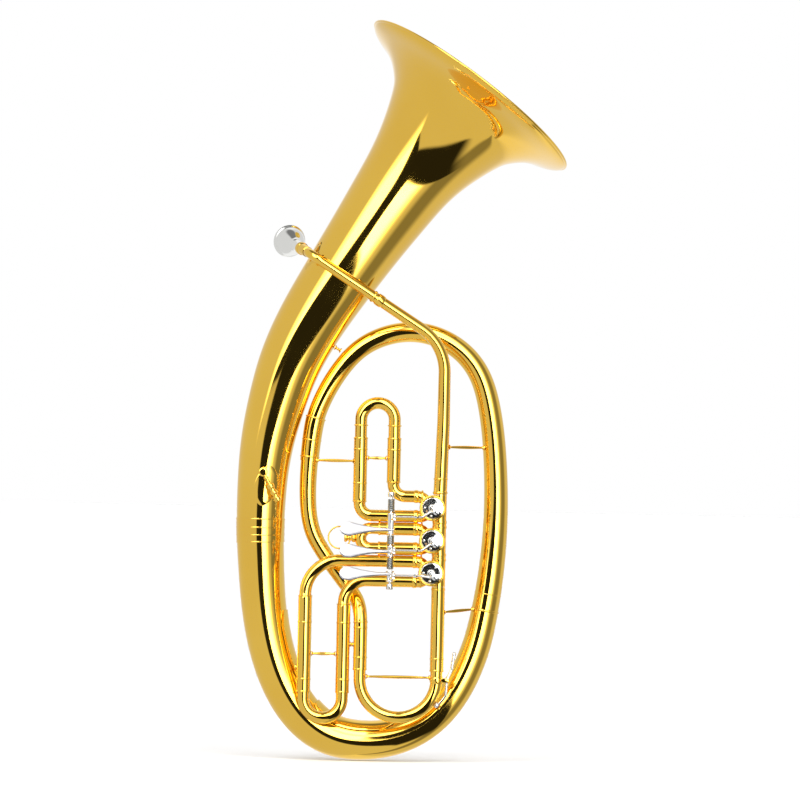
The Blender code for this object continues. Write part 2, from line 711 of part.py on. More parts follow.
def make_valves():
    for index, height in enumerate(VALVE_HEIGHTS, start=1):
        make_casing(f"valve_casing_{index}", height)
        make_rotor(f"rotor_{index}", height)
        make_bearing_plate(f"bearing_plate_{index}", height)
        make_valve_cap(f"valve_cap_{index}", height)
        make_stop_arm(f"stop_arm_{index}", height)
        make_link(f"link_{index}", height, LINK_HEIGHTS[index - 1])
        make_lever(f"lever_{index}", HUB_SPANS[index - 1], PADDLE_HEIGHTS[index - 1],
                   LINK_HEIGHTS[index - 1])
        make_lever_spring(f"lever_spring_{index}", SPRING_SPANS[index - 1])
    for index, height in enumerate(VALVE_HEIGHTS[:2], start=1):
        top = at(MAIN_X, VALVE_Y, height - STUB_HEIGHT - GAP)
        bottom = at(MAIN_X, VALVE_Y, height - VALVE_PITCH + STUB_HEIGHT + GAP)
        pipe(f"valve_knuckle_{index}", GOLD, [top, bottom], KNUCKLE_RADIUS, KNUCKLE_WALL)
    make_lever_rack()


# ---- slides -----------------------------------------------------------------------------------

def make_sleeve(name, leg, sleeve_end, level, bend):
    """A slide's outer sleeve, narrowing into the tubing that bends round to its valve."""
    corners = [at(leg, VALVE_Y, sleeve_end), at(leg, VALVE_Y, level),
               at(STUB_X - GAP, VALVE_Y, level)]
    points = bent_path(corners, bend)
    bend_start = points[1]
    collar = bend_start + (points[0] - bend_start).normalized() * COLLAR_LENGTH * MM
    radii = [SLEEVE_RADIUS, SLEEVE_RADIUS] + [PORT_RADIUS] * (len(points) - 1)
    pipe(name, GOLD, [points[0], collar] + points[1:], radii, PORT_WALL)


def make_first_slide():
    left, right = FIRST_LEGS
    lower = VALVE_HEIGHTS[0] - PORT_DOWN
    upper = VALVE_HEIGHTS[0] + PORT_UP
    for name, leg, level in (("first_sleeve_left", left, lower),
                             ("first_sleeve_right", right, upper)):
        make_sleeve(name, leg, FIRST_SLEEVE_END, level, FIRST_BEND)
    pipe("first_slide", GOLD, u_path(left, right, FIRST_SLIDE_END, FIRST_BOW_START),
         SLIDE_RADIUS, SLIDE_WALL)


def make_second_slide():
    upper = VALVE_HEIGHTS[1] + PORT_UP
    lower = VALVE_HEIGHTS[1] - PORT_DOWN
    for name, level in (("second_sleeve_top", upper), ("second_sleeve_bottom", lower)):
        ends = [at(SECOND_SLEEVE_END, VALVE_Y, level), at(STUB_X - GAP, VALVE_Y, level)]
        pipe(name, GOLD, ends, SHORT_SLEEVE_RADIUS, SHORT_SLEEVE_WALL)
    middle = (upper + lower) / 2
    radius = (upper - lower) / 2
    bend_x, leg_end, beyond = 1.0, 46.0, at(2, 0, 0)
    points = [at(leg_end, VALVE_Y, upper)]
    for step in range(7):
        angle = math.radians(90 + 30 * step)
        points.append(at(bend_x + radius * math.cos(angle), VALVE_Y,
                         middle + radius * math.sin(angle)))
    points.append(at(leg_end, VALVE_Y, lower))
    mesh = bar_mesh("second_slide", points, SHORT_SLIDE_RADIUS)
    bore = [points[0] + beyond] + points[1:-1] + [points[-1] + beyond]
    crown = at(bend_x - radius - 6.0, VALVE_Y, middle)
    knob = [drum_mesh("second_slide", drum_radius, crown - at(end, 0, 0),
                      crown - at(start, 0, 0), 12)
            for drum_radius, start, end in KNOB_DRUMS]
    built_part("second_slide", GOLD, mesh, knob,
               [bar_mesh("second_slide", bore, SHORT_SLIDE_RADIUS - SLIDE_WALL)])
    neck = crown - at(RING_PLACE, 0, 0)
    reach, wire = KNOB_DRUMS[0][0] + GAP, 0.9
    ring_radius, open_angle = 12.8, 22
    points = [neck + at(0, 0, reach)]
    centre = neck - at(ring_radius * math.cos(math.radians(open_angle)), 0, 0)
    for step in range(15):
        angle = math.radians(open_angle + (360 - 2 * open_angle) * step / 14)
        points.append(centre + at(ring_radius * math.cos(angle), 0,
                                  ring_radius * math.sin(angle)))
    points.append(neck - at(0, 0, reach))
    rod("second_slide_ring", SILVER, points, wire, sides=8)


def make_third_slide():
    left, right = THIRD_LEGS
    upper = VALVE_HEIGHTS[2] + PORT_UP
    lower = VALVE_HEIGHTS[2] - PORT_DOWN
    for name, leg, level, bend in (("third_sleeve_left", left, upper, THIRD_BENDS[0]),
                                   ("third_sleeve_right", right, lower, THIRD_BENDS[1])):
        make_sleeve(name, leg, THIRD_SLEEVE_END, level, bend)
    pipe("third_slide", GOLD, u_path(left, right, THIRD_SLIDE_END, THIRD_BOW_START),
         SLIDE_RADIUS, SLIDE_WALL)


def make_tuning_slide():
    left, right = TUNING_LEGS
    tops = (TUNING_SLEEVE_TOP, VALVE_HEIGHTS[2] - STUB_HEIGHT - GAP)
    for name, leg, top in (("tuning_sleeve_left", left, tops[0]),
                           ("tuning_sleeve_right", right, tops[1])):
        ends = [at(leg, VALVE_Y, TUNING_SLEEVE_END), at(leg, VALVE_Y, top)]
        pipe(name, GOLD, ends, SLEEVE_RADIUS, SLEEVE_WALL)
    pipe("tuning_slide", GOLD, u_path(left, right, TUNING_SLIDE_END, TUNING_BOW_START, steps=10),
         SLIDE_RADIUS, SLIDE_WALL)


# ---- leadpipe, mouthpiece and fittings ----------------------------------------------------------

def make_leadpipe():
    corners = [at(*corner) for corner in LEADPIPE_CORNERS] + [at(*LEADPIPE_END)]
    points = bent_path(corners, LEADPIPE_BENDS, steps=5)
    radii = radii_along(points, LEADPIPE_RADIUS_AT_VALVE, LEADPIPE_RADIUS_AT_RECEIVER)
    pipe("leadpipe", GOLD, points, radii, SHEET)


def make_receiver():
    """The tapered socket at the leadpipe's end, and the mouthpiece in it."""
    start = at(*LEADPIPE_END) + RECEIVER_DIRECTION * GAP * MM
    outline = [(6.2, 0), (6.4, RECEIVER_LENGTH - 6), (7.6, RECEIVER_LENGTH - 5),
               (7.6, RECEIVER_LENGTH), (5.9, RECEIVER_LENGTH), (5.0, 0), (6.2, 0)]
    turned("mouthpiece_receiver", GOLD, outline[::-1], start, RECEIVER_DIRECTION, 16)
    base = start + RECEIVER_DIRECTION * (RECEIVER_LENGTH - SHANK_LENGTH) * MM
    mouth = SHANK_LENGTH
    rim = SHANK_LENGTH + MOUTHPIECE_EXPOSED
    outer = [(17.5, rim), (19.3, rim - 1.6), (19.3, rim - 4.2), (16.6, rim - 6.5),
             (15.0, rim - 12), (11.8, rim - 19), (7.6, rim - 26), (6.0, mouth + 6),
             (5.3, mouth + 1), (4.5, 0)]
    inner = [(3.4, 0), (3.1, rim - 32), (6.5, rim - 27), (10.2, rim - 17), (12.4, rim - 7),
             (13.6, rim - 1.2), (15.2, rim), (17.5, rim)]
    turned("mouthpiece", PLATED, outer + inner, base, RECEIVER_DIRECTION, 16)


def make_water_key():
    """A sprung lever on the tuning slide's right leg, with its cork pad over the bow."""
    pivot = at(*WATER_KEY_PIVOT)
    half = at(0, 3.2, 0)
    barrel_radius, arm_radius, pad_radius, pad_length = 2.2, 1.6, 3.4, 4.5
    centre = at((TUNING_LEGS[0] + TUNING_LEGS[1]) / 2, VALVE_Y, TUNING_BOW_START)
    bow_radius = (TUNING_LEGS[1] - TUNING_LEGS[0]) / 2
    outward = Vector((math.cos(PAD_ANGLE), 0.0, -math.sin(PAD_ANGLE)))
    pad = centre + outward * (bow_radius + SLIDE_RADIUS + GAP) * MM
    run = [at(101.5, VALVE_Y - 2, 129.0), at(99.0, VALVE_Y - 2, 112.0), pivot,
           at(92.5, VALVE_Y - 1, 80.0), pad + outward * 3.5 * MM]
    built_part(
        "water_key", SILVER,
        drum_mesh("water_key", barrel_radius, pivot - half, pivot + half, 12),
        [bar_mesh("water_key", bent_path(run, 6.0, 3), arm_radius, 8),
         drum_mesh("water_key", pad_radius, pad, pad + outward * pad_length * MM, 12)])


def make_lyre_holder():
    """A lozenge plate on the bell's tail with a bored socket, and the thumb screw in it."""
    socket_radius, bore_radius, screw_radius, spade_radius = 4.4, 2.3, 1.9, 5.2
    plate_size, web_size = (22, 1.6, 40), (6, 5, 14)
    lean = Matrix.Rotation(math.radians(-29), 4, "Y")
    plate_turn = Matrix.Rotation(math.radians(22), 4, "Y")
    middle = at(-122.5, VALVE_Y, 321.0)
    plate = block_mesh("lyre_holder", middle + at(0, 0.1, 0), plate_size, plate_turn)
    down = (lean @ Vector((0, 0, -1))).normalized()
    socket_start = middle + at(4.5, -6.1, 2.0)
    socket_end = socket_start + down * 22 * MM
    bore_start = socket_start - down * 2 * MM
    web_centre = (socket_start + socket_end) / 2 + at(0, 3, 0)
    built_part(
        "lyre_holder", GOLD, plate,
        [drum_mesh("lyre_holder", socket_radius, socket_start, socket_end, 12),
         block_mesh("lyre_holder", web_centre, web_size, lean)],
        [drum_mesh("lyre_holder", bore_radius, bore_start, socket_end + down * 2 * MM, 12)])
    tip = socket_start + down * 9 * MM
    shoulder = socket_start - down * 12 * MM
    head = shoulder - down * 4 * MM
    half_spade = at(0, 1.1, 0)
    spade = drum_mesh("lyre_screw", spade_radius, head - half_spade, head + half_spade, 16)
    stem = drum_mesh("lyre_screw", screw_radius, shoulder, tip, 10)
    built_part("lyre_screw", SILVER, stem, [spade])


def make_brace(name, start, start_radius, end, end_radius):
    """A turned brace with a flange at each end, between the surfaces of two tubes."""
    way = (end - start).normalized()
    foot = start + way * (start_radius + GAP) * MM
    span = (end - start).length / MM - start_radius - end_radius - 2 * GAP
    flange, waist, belly = 3.2, 1.4, 1.9
    flange_depth, neck_depth = 1.2, 2.6
    outline = [(0, span), (flange, span), (flange, span - flange_depth),
               (waist, span - neck_depth), (belly, span / 2), (waist, neck_depth),
               (flange, flange_depth), (flange, 0), (0, 0)]
    turned(name, GOLD, outline, foot, way, 10)


def make_braces():
    """Each brace runs between two places on centre lines, each with its tube's radius."""
    first, third, tuning = FIRST_LEGS, THIRD_LEGS, TUNING_LEGS
    sleeve, slide = SLEEVE_RADIUS, SLIDE_RADIUS
    for name, start, start_radius, end, end_radius in (
            ("branch", (-72.6, 0, 352.0), 10.2, (first[0], VALVE_Y, 352.0), sleeve),
            ("first", (first[0], VALVE_Y, 356.0), sleeve, (first[1], VALVE_Y, 356.0), sleeve),
            ("leadpipe", (83.0, VALVE_Y - 0.7, 370.5), 7.9, (143.6, 0, 370.5), 13.6),
            ("main", (MAIN_X, VALVE_Y, 177.0), sleeve, (136.9, 0, 183.0), 16.7),
            ("third", (third[0], VALVE_Y, 126.5), sleeve, (third[1], VALVE_Y, 126.5), sleeve),
            ("tuning", (tuning[0], VALVE_Y, 101.0), slide, (tuning[1], VALVE_Y, 101.0), slide),
            ("bell", (-9.3, -53.4, 549.6), 7.8, (-37.5, 1.2, 571.5), 43.6)):
        make_brace(f"brace_{name}", at(*start), start_radius, at(*end), end_radius)


def make_pivot(name, place, parts):
    """An empty on a joint's axis, which carries the pieces that move about it."""
    pivot = add_helper(name, None)
    pivot.location = place
    for part_name in parts:
        part = bpy.data.objects[part_name]
        part.parent = pivot
        part.matrix_parent_inverse = Matrix.Translation(-place)


def make_pivots():
    for index, height in enumerate(VALVE_HEIGHTS, start=1):
        link_height = LINK_HEIGHTS[index - 1]
        make_pivot(f"pivot_lever_{index}", at(AXLE_X, AXLE_Y, PADDLE_HEIGHTS[index - 1]),
                   [f"lever_{index}"])
        make_pivot(f"pivot_rotor_{index}", at(VALVE_X, VALVE_Y, height),
                   [f"rotor_{index}", f"stop_arm_{index}"])
        make_pivot(f"pivot_link_{index}", at(AXLE_X + CRANK_REACH, LINK_Y, link_height),
                   [f"link_{index}"])
    make_pivot("pivot_water_key", at(*WATER_KEY_PIVOT), ["water_key"])


make_cone_tubing()
make_valves()
make_first_slide()
make_second_slide()
make_third_slide()
make_tuning_slide()
make_leadpipe()
make_receiver()
make_water_key()
make_lyre_holder()
make_braces()
make_pivots()
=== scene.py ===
"""Looks for the oval rotary euphonium: smooth tubing, fittings, finishes, light and camera.

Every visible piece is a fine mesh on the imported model's own centre lines and rides on its body.
Sizes are named in millimetres and turned into metres by at() and MM.
"""
import math

import bmesh
import bpy
from mathutils import Matrix, Vector


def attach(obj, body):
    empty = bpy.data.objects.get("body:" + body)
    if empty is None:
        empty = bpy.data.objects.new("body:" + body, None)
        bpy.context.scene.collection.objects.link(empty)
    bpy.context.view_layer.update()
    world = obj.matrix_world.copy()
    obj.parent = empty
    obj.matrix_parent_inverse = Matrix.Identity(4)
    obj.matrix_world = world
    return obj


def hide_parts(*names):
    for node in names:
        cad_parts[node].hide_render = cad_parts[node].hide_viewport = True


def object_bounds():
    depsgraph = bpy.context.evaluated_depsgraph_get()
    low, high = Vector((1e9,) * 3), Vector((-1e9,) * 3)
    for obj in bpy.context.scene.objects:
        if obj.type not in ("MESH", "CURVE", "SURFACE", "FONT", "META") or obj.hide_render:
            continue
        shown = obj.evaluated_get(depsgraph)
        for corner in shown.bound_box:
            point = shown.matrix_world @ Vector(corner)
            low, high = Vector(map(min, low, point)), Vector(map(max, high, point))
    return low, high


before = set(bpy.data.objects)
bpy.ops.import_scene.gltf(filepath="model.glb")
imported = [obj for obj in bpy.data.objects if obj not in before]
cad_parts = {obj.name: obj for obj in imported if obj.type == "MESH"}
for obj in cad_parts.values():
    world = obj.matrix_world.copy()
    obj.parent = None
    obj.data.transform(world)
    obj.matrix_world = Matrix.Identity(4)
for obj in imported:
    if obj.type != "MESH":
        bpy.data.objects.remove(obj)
CAD_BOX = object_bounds()

MM = 0.001
SHEET = 0.7                    # wall of the bell and the bows
TUBE_WALL = 0.55

SLEEVE_RADIUS = 8.0
SLIDE_RADIUS = 7.1
PORT_RADIUS = 7.0
SHORT_SLEEVE_RADIUS = 7.7
SHORT_SLIDE_RADIUS = 6.8

VALVE_X = 72.6
VALVE_Y = -32.0
VALVE_HEIGHTS = [298.8, 260.75, 222.7]
CASING_RADIUS = 14.65
CASING_HALF_LENGTH = 16.0
PLATE_RADIUS = 12.7
PLATE_SEAT = 12.7              # from a valve's middle to the back of its front plate
PLATE_FACE = 3.0               # the plate's thickness
STOP_PLATE_RADIUS = 10.6
STOP_PLATE_THICKNESS = 1.3
STOP_PLATE_TURNS = [-62, -62, 8]
SCREW_CIRCLE = 9.0
BUMPER_CIRCLE = 7.4
HUB_REACH = 21.3               # from a valve's middle to the back of its stop arm
CAP_RIBS = 48
PORT_UP = 13.2
PORT_DOWN = 9.9
STUB_HEIGHT = 15.5
STUB_X = 53.6
MAIN_X = 81.2

AXLE_X = 24.5
AXLE_Y = -47.0
LEVER_ARM = 20.0
CRANK_RADIUS = 6.0
CRANK_REACH = CRANK_RADIUS * math.sin(math.pi / 4)
LEVER_SWING = 2 * math.asin(CRANK_REACH / LEVER_ARM)
LINK_Y = AXLE_Y - LEVER_ARM * math.cos(LEVER_SWING / 2)
PIN_X = VALVE_X + CRANK_REACH
LINK_HEIGHTS = [288.5, 249.5, 220.0]
PADDLE_HEIGHTS = [273.1, 247.6, 221.2]
HUB_SPANS = [(268.0, 292.0), (241.5, 254.0), (212.0, 225.0)]
SPRING_SPANS = [(293.5, 309.0), (255.5, 266.5), (226.5, 240.0)]
PADDLE_SLANT = math.radians(18)

FIRST_LEGS = (-12.6, 26.5)
THIRD_LEGS = (-73.6, -28.5)
TUNING_LEGS = (-8.4, MAIN_X)
TUNING_BEND_Z = 98.7

# The conical tubing as stations, from the bell's rim inwards: x, y, z and outer radius.
CONE_STATIONS = [
    (107.6, 33.0, 784.0, 140.0), (76.7, 25.5, 741.7, 67.9), (45.8, 18.2, 699.2, 57.2),
    (14.2, 10.8, 652.0, 50.6), (-12.8, 4.4, 611.2, 46.2), (-44.0, 0.6, 563.1, 42.6),
    (-73.4, 0.0, 515.7, 39.7), (-96.7, 0.0, 468.4, 36.8), (-111.2, 0.0, 421.3, 34.0),
    (-121.9, 0.0, 374.3, 31.4), (-126.9, 0.0, 327.4, 29.2),
    (-128.2, 0.0, 269.0, 28.0),
    (-126.6, 0.0, 233.7, 27.2), (-123.1, 0.0, 187.0, 26.4), (-115.5, 0.0, 140.3, 25.7),
    (-100.3, 0.0, 93.9, 25.2), (-75.0, 0.0, 53.4, 24.5), (-42.0, 0.0, 29.8, 23.7),
    (-3.0, 0.0, 24.1, 22.3), (37.0, 0.0, 29.8, 20.7), (73.0, 0.0, 48.3, 19.4),
    (103.0, 0.0, 82.0, 18.3), (126.0, 0.0, 132.0, 17.0),
    (136.5, 0.0, 180.3, 15.9),
    (143.4, 0.0, 228.0, 15.1), (147.2, 0.0, 290.0, 14.3), (145.4, 0.0, 350.0, 13.7),
    (140.0, 0.0, 402.0, 13.3), (127.2, 0.0, 453.1, 12.7), (101.0, 0.0, 485.5, 12.2),
    (62.0, 0.0, 503.4, 11.9), (22.0, 0.0, 502.3, 11.7), (-17.0, 0.0, 484.0, 11.3),
    (-45.1, 0.0, 448.8, 11.1), (-61.5, 0.0, 416.0, 10.9),
    (-68.3, 0.0, 392.2, 10.7),
    (-73.2, 0.0, 340.0, 10.1), (-73.0, -0.5, 297.0, 9.7), (-66.5, -2.5, 266.0, 9.4),
    (-52.5, -6.0, 242.5, 9.2), (-35.5, -10.0, 219.5, 9.0), (-22.0, -13.5, 202.0, 8.8),
    (-12.6, -21.5, 189.0, 8.4), (-8.9, -30.8, 172.5, 8.1), (-8.4, -32.0, 158.4, 8.0)]
BELL_FLARE = [                 # depth below the rim and outer radius
    (0.0, 140.0), (4.5, 138.2), (9.0, 130.5), (14.0, 116.0), (19.0, 105.8), (25.0, 97.0),
    (35.0, 86.6), (47.0, 77.6)]
BELL_END = 11
BOW_END = 23
LOOP_END = 35
BRANCH_END = 44
CONE_STEPS = 10                # fine steps between two stations
EASING_PASSES = 24             # rounds that even out the bends, so that reflections flow
BELL_JOIN = 2                  # the first station below the flare
SMALLEST_RADIUS = 0.01         # the middle of a turned shape's flat end

UP = Vector((0, 0, 1))
FRONT = Vector((0, -1, 0))
BACK = Vector((0, 1, 0))
LEFT = Vector((-1, 0, 0))

LEADPIPE_CORNERS = [
    (MAIN_X, VALVE_Y, 314.6), (83.5, -33.0, 400.0), (83.5, -34.0, 490.0),
    (-74.2, -66.9, 591.4)]
LEADPIPE_BENDS = [200.0, 60.0, 16.0]
LEADPIPE_END = (-78.9, -53.2, 594.3)
RECEIVER_DIRECTION = Vector((-0.321, 0.927, 0.193)).normalized()
RECEIVER_LENGTH = 25.0
MOUTHPIECE_EXPOSED = 47.0
SHANK_LENGTH = 22.0
PAD_ANGLE = math.radians(33)


def at(x, y, z):
    """A point given in millimetres, in metres."""
    return Vector((x, y, z)) * MM


def in_row(x, z):
    """A point, in millimetres, in the plane of the valves and slides."""
    return at(x, VALVE_Y, z)


# ---- shapes: each is a pair (points, faces) ----

def spin(axis, degrees):
    return Matrix.Rotation(math.radians(degrees), 4, axis)


def moved(shape, matrix):
    points, faces = shape
    return [matrix @ point for point in points], faces


def skin(rings, closed_along=False):
    """Faces between rings of equal size, with a cap at each end or joined end to end."""
    sides = len(rings[0])
    points = [point for ring in rings for point in ring]
    faces = []
    count = len(rings)
    for row in range(count if closed_along else count - 1):
        low, high = row * sides, (row + 1) % count * sides
        for side in range(sides):
            beside = (side + 1) % sides
            faces.append((low + side, low + beside, high + beside, high + side))
    if not closed_along:
        faces.append(tuple(range(sides))[::-1])
        faces.append(tuple(range((count - 1) * sides, count * sides)))
    return points, faces


def carried_frames(points, closed=False):
    """A direction along and two across at each point, turning as little as possible."""
    count = len(points)
    ways = []
    for index in range(count):
        after = points[(index + 1) % count] if closed else points[min(index + 1, count - 1)]
        before = points[index - 1] if closed or index else points[0]
        ways.append((after - before).normalized())
    across = ways[0].orthogonal().normalized()
    found = []
    for index, way in enumerate(ways):
        if index:
            across = ways[index - 1].rotation_difference(way) @ across
        across = (across - way * across.dot(way)).normalized()
        found.append((way, across, way.cross(across)))
    return found


def circle(centre, first, second, radius, sides):
    """Points round a centre, from the first direction towards the second."""
    ring = []
    for side in range(sides):
        angle = 2 * math.pi * side / sides
        spread = first * math.cos(angle) + second * math.sin(angle)
        ring.append(centre + spread * radius * MM)
    return ring


def polar(centre, radius, degrees):
    """A point on an upright circle that faces the front."""
    angle = math.radians(degrees)
    return centre + at(radius * math.cos(angle), 0, radius * math.sin(angle))


def arc(centre, radius, start, end, steps):
    """Points on such a circle between two angles in degrees."""
    return [polar(centre, radius, start + (end - start) * step / steps)
            for step in range(steps + 1)]


def rings_along(points, radii, sides, closed=False):
    """A circle across the line at each point."""
    return [circle(point, first, second, radius, sides)
            for point, radius, (_, first, second)
            in zip(points, radii, carried_frames(points, closed))]


def tube(points, radius, sides=32, wall=None, closed=False):
    """A tube along points, in metres, with one radius or one for each point, in millimetres."""
    radii = radius if isinstance(radius, list) else [radius] * len(points)
    outer = rings_along(points, radii, sides, closed)
    if wall is None:
        return skin(outer, closed_along=closed)
    inner = rings_along(points, [radius - wall for radius in radii], sides)
    return skin(outer + inner[::-1], closed_along=True)


def turned(outline, base, direction, sides=48):
    """An outline of (radius, distance along direction) in millimetres, turned about its axis."""
    way = direction.normalized()
    first = way.orthogonal().normalized()
    second = way.cross(first)
    return skin([circle(base + way * along * MM, first, second, max(radius, SMALLEST_RADIUS), sides)
                 for radius, along in outline])


def rounded(outline, size=0.3):
    """The outline with each inner corner cut back and rounded by up to size."""
    result = [outline[0]]
    for before, corner, after in zip(outline, outline[1:], outline[2:]):
        here = Vector(corner)
        back, ahead = Vector(before) - here, Vector(after) - here
        cut = min(size, back.length / 2.2, ahead.length / 2.2)
        start = here + back.normalized() * cut if back.length else here
        end = here + ahead.normalized() * cut if ahead.length else here
        for share in (0.0, 0.5, 1.0):
            point = start.lerp(here, share).lerp(here.lerp(end, share), share)
            result.append((point.x, point.y))
    return result + [outline[-1]]


def lathe(outline, base, direction, sides=48, edge=0.3):
    """A turned outline with its corners softened."""
    return turned(rounded(outline, edge), base, direction, sides)


def drum(radius, start, end, edge=0.3, sides=40):
    """A round bar with softened rims between two points."""
    length = (end - start).length / MM
    return lathe([(0, 0), (radius, 0), (radius, length), (0, length)], start, end - start,
                 sides, edge)


def torus(centre, direction, radius, wire, sides, wire_sides):
    """A ring of wire round an axis."""
    way = direction.normalized()
    first = way.orthogonal().normalized()
    points = circle(centre, first, way.cross(first), radius, sides)
    return tube(points, wire, wire_sides, closed=True)


def taken_from(work):
    """The shape in a working mesh, which is freed."""
    work.verts.index_update()
    points = [vertex.co.copy() for vertex in work.verts]
    faces = [tuple(vertex.index for vertex in face.verts) for face in work.faces]
    work.free()
    return points, faces


def block(centre, size, edge=0.5, turn=None):
    """A box of the given size in millimetres with rounded edges."""
    work = bmesh.new()
    bmesh.ops.create_cube(work, size=1.0)
    for vertex in work.verts:
        vertex.co = Vector(side * length * MM for side, length in zip(vertex.co, size))
    bmesh.ops.bevel(work, geom=work.edges[:], offset=edge * MM, segments=3, profile=0.5,
                    affect="EDGES")
    return moved(taken_from(work), Matrix.Translation(centre) @ (turn or Matrix.Identity(4)))


def ball(centre, radius):
    work = bmesh.new()
    bmesh.ops.create_uvsphere(work, u_segments=32, v_segments=20, radius=radius * MM)
    return moved(taken_from(work), Matrix.Translation(centre))


def add_piece(name, shapes, material, body, replaces=(), angle=32):
    """One object made of all the shapes, riding on a body and standing for CAD nodes."""
    points, faces = [], []
    for shape_points, shape_faces in shapes:
        start = len(points)
        points += shape_points
        faces += [tuple(corner + start for corner in face) for face in shape_faces]
    mesh = bpy.data.meshes.new(name)
    mesh.from_pydata(points, [], faces)
    work = bmesh.new()
    work.from_mesh(mesh)
    bmesh.ops.recalc_face_normals(work, faces=work.faces)
    work.to_mesh(mesh)
    work.free()
    mesh.polygons.foreach_set("use_smooth", [True] * len(mesh.polygons))
    mesh.set_sharp_from_angle(angle=math.radians(angle))
    mesh.materials.append(material)
    piece = bpy.data.objects.new(name, mesh)
    bpy.context.scene.collection.objects.link(piece)
    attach(piece, body)
    if replaces:
        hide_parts(*replaces)


def add_brass(name, shapes, *nodes, body="frame", angle=32):
    """A piece in lacquered brass, on the frame unless another body is named."""
    add_piece(name, shapes, GOLD, body, nodes, angle)


# ---- centre lines ----

def smooth_path(stations, steps):
    """A smooth curve through stations of (x, y, z, radius): the places and the radii along it."""
    knots = [Vector(station) for station in stations]
    spans = [(b - a).to_3d().length for a, b in zip(knots, knots[1:])]
    slopes = [(knots[1] - knots[0]) / spans[0]]
    for index in range(1, len(knots) - 1):
        reach = spans[index - 1] + spans[index]
        slopes.append((knots[index + 1] - knots[index - 1]) / reach)
    slopes.append((knots[-1] - knots[-2]) / spans[-1])
    run = []
    for index, span in enumerate(spans):
        for step in range(steps):
            t = step / steps
            run.append(knots[index] * (2 * t ** 3 - 3 * t ** 2 + 1)
                       + slopes[index] * span * (t ** 3 - 2 * t ** 2 + t)
                       + knots[index + 1] * (3 * t ** 2 - 2 * t ** 3)
                       + slopes[index + 1] * span * (t ** 3 - t ** 2))
    run.append(knots[-1])
    for _ in range(EASING_PASSES):
        run = ([run[0]] + [(a + b * 2 + c) / 4 for a, b, c in zip(run, run[1:], run[2:])]
               + [run[-1]])
    return [knot.to_3d() * MM for knot in run], [knot[3] for knot in run]


def bent_path(corners, bends, steps=14):
    """A path along straight lines between corners, rounded at each inner corner."""
    points = [corners[0]]
    if not isinstance(bends, list):
        bends = [bends] * (len(corners) - 2)
    for before, corner, after, bend in zip(corners, corners[1:], corners[2:], bends):
        back = (before - corner).normalized()
        ahead = (after - corner).normalized()
        turn = math.pi - back.angle(ahead)
        reach = bend * MM * math.tan(turn / 2)
        start = corner + back * reach
        middle = corner + (back + ahead).normalized() * (bend * MM / math.cos(turn / 2))
        axis = ahead.cross(back).normalized()
        for step in range(steps + 1):
            rotation = Matrix.Rotation(turn * step / steps, 3, axis)
            points.append(middle + rotation @ (start - middle))
    return points + [corners[-1]]


def dense(points, spacing=3.0):
    """The same path with a point at least every spacing millimetres."""
    result = [points[0]]
    for start, end in zip(points, points[1:]):
        count = max(1, math.ceil((end - start).length / MM / spacing))
        result += [start.lerp(end, step / count) for step in range(1, count + 1)]
    return result


def radii_along(points, first, last):
    """A radius for each point, running evenly from the first to the last."""
    lengths = [0.0]
    for before, after in zip(points, points[1:]):
        lengths.append(lengths[-1] + (after - before).length)
    return [first + (last - first) * length / lengths[-1] for length in lengths]


def u_path(left, right, open_end, bend_start, steps=28):
    """A slide's centre line: two legs from the open end to a half circle."""
    middle = in_row((left + right) / 2, bend_start)
    over = 0 if bend_start > open_end else 360
    return ([in_row(left, open_end)]
            + arc(middle, (right - left) / 2, 180, over, steps)
            + [in_row(right, open_end)])


# ---- finishes ----

TONE_SCALE = 9.0               # how many times per metre the tone and the ripple drift
RIPPLE_SCALE = 26.0
RIPPLE_HEIGHT = 0.0004         # metres
COAT_ROUGHNESS = 0.02


def noise(nodes, links, place, scale, detail=3.0):
    """A noise texture in the object's own metres; returns its value output."""
    texture = nodes.new("ShaderNodeTexNoise")
    texture.inputs["Scale"].default_value = scale
    texture.inputs["Detail"].default_value = detail
    links.new(place.outputs["Object"], texture.inputs["Vector"])
    return texture.outputs["Fac"]


def ranged(nodes, links, value, low, high):
    """The noise, which stays mostly between 0.3 and 0.7, mapped to low to high."""
    mapping = nodes.new("ShaderNodeMapRange")
    for slot, limit in (("From Min", 0.3), ("From Max", 0.7), ("To Min", low), ("To Max", high)):
        mapping.inputs[slot].default_value = limit
    links.new(value, mapping.inputs["Value"])
    return mapping.outputs["Result"]


def metal_finish(name, light, deep, smooth, rough, coat=0.0, ripple=0.0, grain=40.0):
    """A polished metal: its tone drifts slowly, its polish varies, and it ripples slightly."""
    material = bpy.data.materials.new(name)
    material.use_nodes = True
    nodes, links = material.node_tree.nodes, material.node_tree.links
    shader = nodes["Principled BSDF"]
    place = nodes.new("ShaderNodeTexCoord")
    shader.inputs["Metallic"].default_value = 1.0
    shader.inputs["Coat Weight"].default_value = coat
    shader.inputs["Coat Roughness"].default_value = COAT_ROUGHNESS
    tone = nodes.new("ShaderNodeMix")
    tone.data_type = "RGBA"
    tone.inputs["A"].default_value = (*deep, 1.0)
    tone.inputs["B"].default_value = (*light, 1.0)
    links.new(ranged(nodes, links, noise(nodes, links, place, TONE_SCALE), 0.0, 1.0),
              tone.inputs["Factor"])
    links.new(tone.outputs["Result"], shader.inputs["Base Color"])
    links.new(ranged(nodes, links, noise(nodes, links, place, grain, 5.0), smooth, rough),
              shader.inputs["Roughness"])
    if ripple:
        bump = nodes.new("ShaderNodeBump")
        bump.inputs["Strength"].default_value = ripple
        bump.inputs["Distance"].default_value = RIPPLE_HEIGHT
        links.new(noise(nodes, links, place, RIPPLE_SCALE, 2.0), bump.inputs["Height"])
        links.new(bump.outputs["Normal"], shader.inputs["Normal"])
    return material


